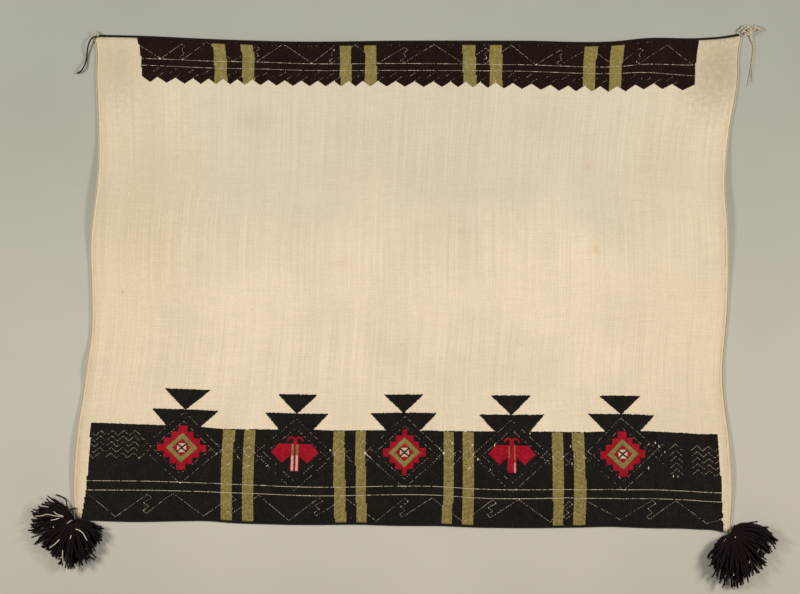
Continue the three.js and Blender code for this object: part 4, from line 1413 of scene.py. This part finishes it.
# The corner knot: cotton string tied in two lumps at the end of the top cord, with two long ends that
# lie beside the cloth and short frayed ones.
STRING = 2.4
# Routes in millimetres, with the thickness at each point as a share of the string's
KNOT_STRINGS = [
    [(749.5, 553, 4, 1.1), (755, 549, 5, 1.1), (762, 546.8, 5, 1.1), (769, 548, 6, 1.1),
     (774.5, 551.5, 8, 1.1)],
    [(750, 556, 4, 1.1), (755, 560.5, 5, 1.1), (761, 566, 5, 1.1), (768, 568.8, 4, 1.1),
     (774.5, 567.5, 6, 1.1), (778.5, 562.5, 8, 1)],
    [(758.5, 560, 4, 1.1), (764, 556, 8, 1.1), (770, 552.5, 9, 1.1), (774, 547, 5, 1.1)],
    [(757, 553, 5, 1.1), (763, 558.5, 9, 1.1), (769.5, 564.5, 8, 1.1), (775.5, 564, 6, 1.1),
     (777.5, 559, 9, 1.1), (773.5, 554, 6, 1.1), (767.5, 551.8, 3, 1.1), (762.5, 555, 3, 1),
     (764, 561.5, 4, 1)],
    [(772, 552, 9, 1.2), (778.5, 554, 11, 1.2), (784.5, 559, 10, 1.2), (792, 561.2, 8, 1.1),
     (798.5, 560.2, 5, 0.9)],
    [(775, 560, 4, 1), (781.5, 565, 6, 1), (788.5, 566.2, 6, 0.9), (794.5, 563, 5, 0.9),
     (797.5, 559, 4, 0.8), (793.5, 556.2, 4, 0.8), (787, 557.5, 4, 0.8)],
    [(769, 560, 5, 1.1), (774.5, 555.5, 11, 1.1), (778.5, 550, 8, 1.1), (779, 545, 4, 1)],
    [(771.5, 556, 6, 1.1), (774.5, 561, 10, 1.1), (779.5, 561.2, 10, 1.1), (780.8, 556.2, 7, 1.1),
     (776.8, 552, 6, 1.1), (771.5, 554, 5, 1)],
    [(764, 550.5, 6, 1), (770, 548.2, 7, 1), (775.2, 550, 10, 1.1), (777.8, 556, 11, 1.1),
     (776.5, 562.5, 8, 1), (771, 566, 7, 1)],
    [(760, 552, 3, 1), (759, 558, 6, 1), (764.5, 564, 7, 1), (770, 562, 10, 1), (771, 557, 8, 1)],
    [(779.5, 556, 6, 0.9), (785, 562, 8, 0.9), (791, 565, 5, 0.8), (796.5, 565, 3, 0.7)],
]
LONG_STRINGS = [
    [(774.5, 552, 5, 1), (777, 544, 3, 0.9), (782.2, 529, 1.2, 0.9), (784.2, 520, 1.2, 0.9),
     (783.2, 503.5, 1.2, 0.9), (780.8, 486, 1.2, 0.9), (777.8, 468.5, 1.2, 0.85), (774, 450, 1.2, 0.7),
     (770.2, 434, 1, 0.3)],
    [(778, 552, 4, 1), (780, 544, 3, 0.9), (784.8, 529, 1.2, 0.9), (786.6, 520, 1.2, 0.9),
     (785.5, 503.5, 1.2, 0.9), (783.2, 486, 1.2, 0.9), (781.3, 472, 1.2, 0.85), (780.8, 457, 1.2, 0.7),
     (781.1, 442, 1, 0.3)],
]
FRAYED_ENDS = [  # start, direction in degrees, length
    ((798, 560), -16, 17),
    ((797.5, 559.5), -3, 15),
    ((796.5, 562.5), 14, 13),
    ((795, 564.5), 30, 13),
    ((789, 566), 55, 7),
    ((770, 568.6), 75, 5),
    ((761, 565.8), 125, 7),
    ((751.5, 557.5), 105, 6),
]
# A frayed strand's start, middle and end: height, and thickness as a share of the string's
FRAY = [(3.5, 0.442), (3, 0.34), (0.8, 0.204)]
FRAY_FAN = 12
FRAYS_VARY = (0.6, 1.0)
FRAY_CURL = 2
STRANDS = 4

lines = [laid(route, 5) for route in [*KNOT_STRINGS, *LONG_STRINGS]]
for (x, y), turn, length in FRAYED_ENDS:
    for strand in range(STRANDS):
        angle = math.radians(turn + chance.normal(0, FRAY_FAN))
        reach = length * chance.uniform(*FRAYS_VARY)
        curl = chance.normal(0, FRAY_CURL)
        ahead, aside = math.cos(angle), math.sin(angle)
        places = [(0, 0), (reach / 2, curl), (reach, 0)]
        lines.append(laid([
            (x + out * ahead - off * aside, y + out * aside + off * ahead, *rest)
            for (out, off), rest in zip(places, FRAY)], 4))
STRING_YARN = wool("cotton_string", (214, 202, 176), (230, 220, 198), (158, 142, 110), 0.05, yarn=True)
knot = grown(
    "string_knot", guide_of(lines), PLIED_YARN, thickness=STRING * MILLIMETRE, plies=2, sides=8, groove=0.3,
    twist=0.007, step=0.0013, seed=7, yarn=STRING_YARN, pale_yarn=STRING_YARN)
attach(knot, "root")
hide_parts("corner_knot")
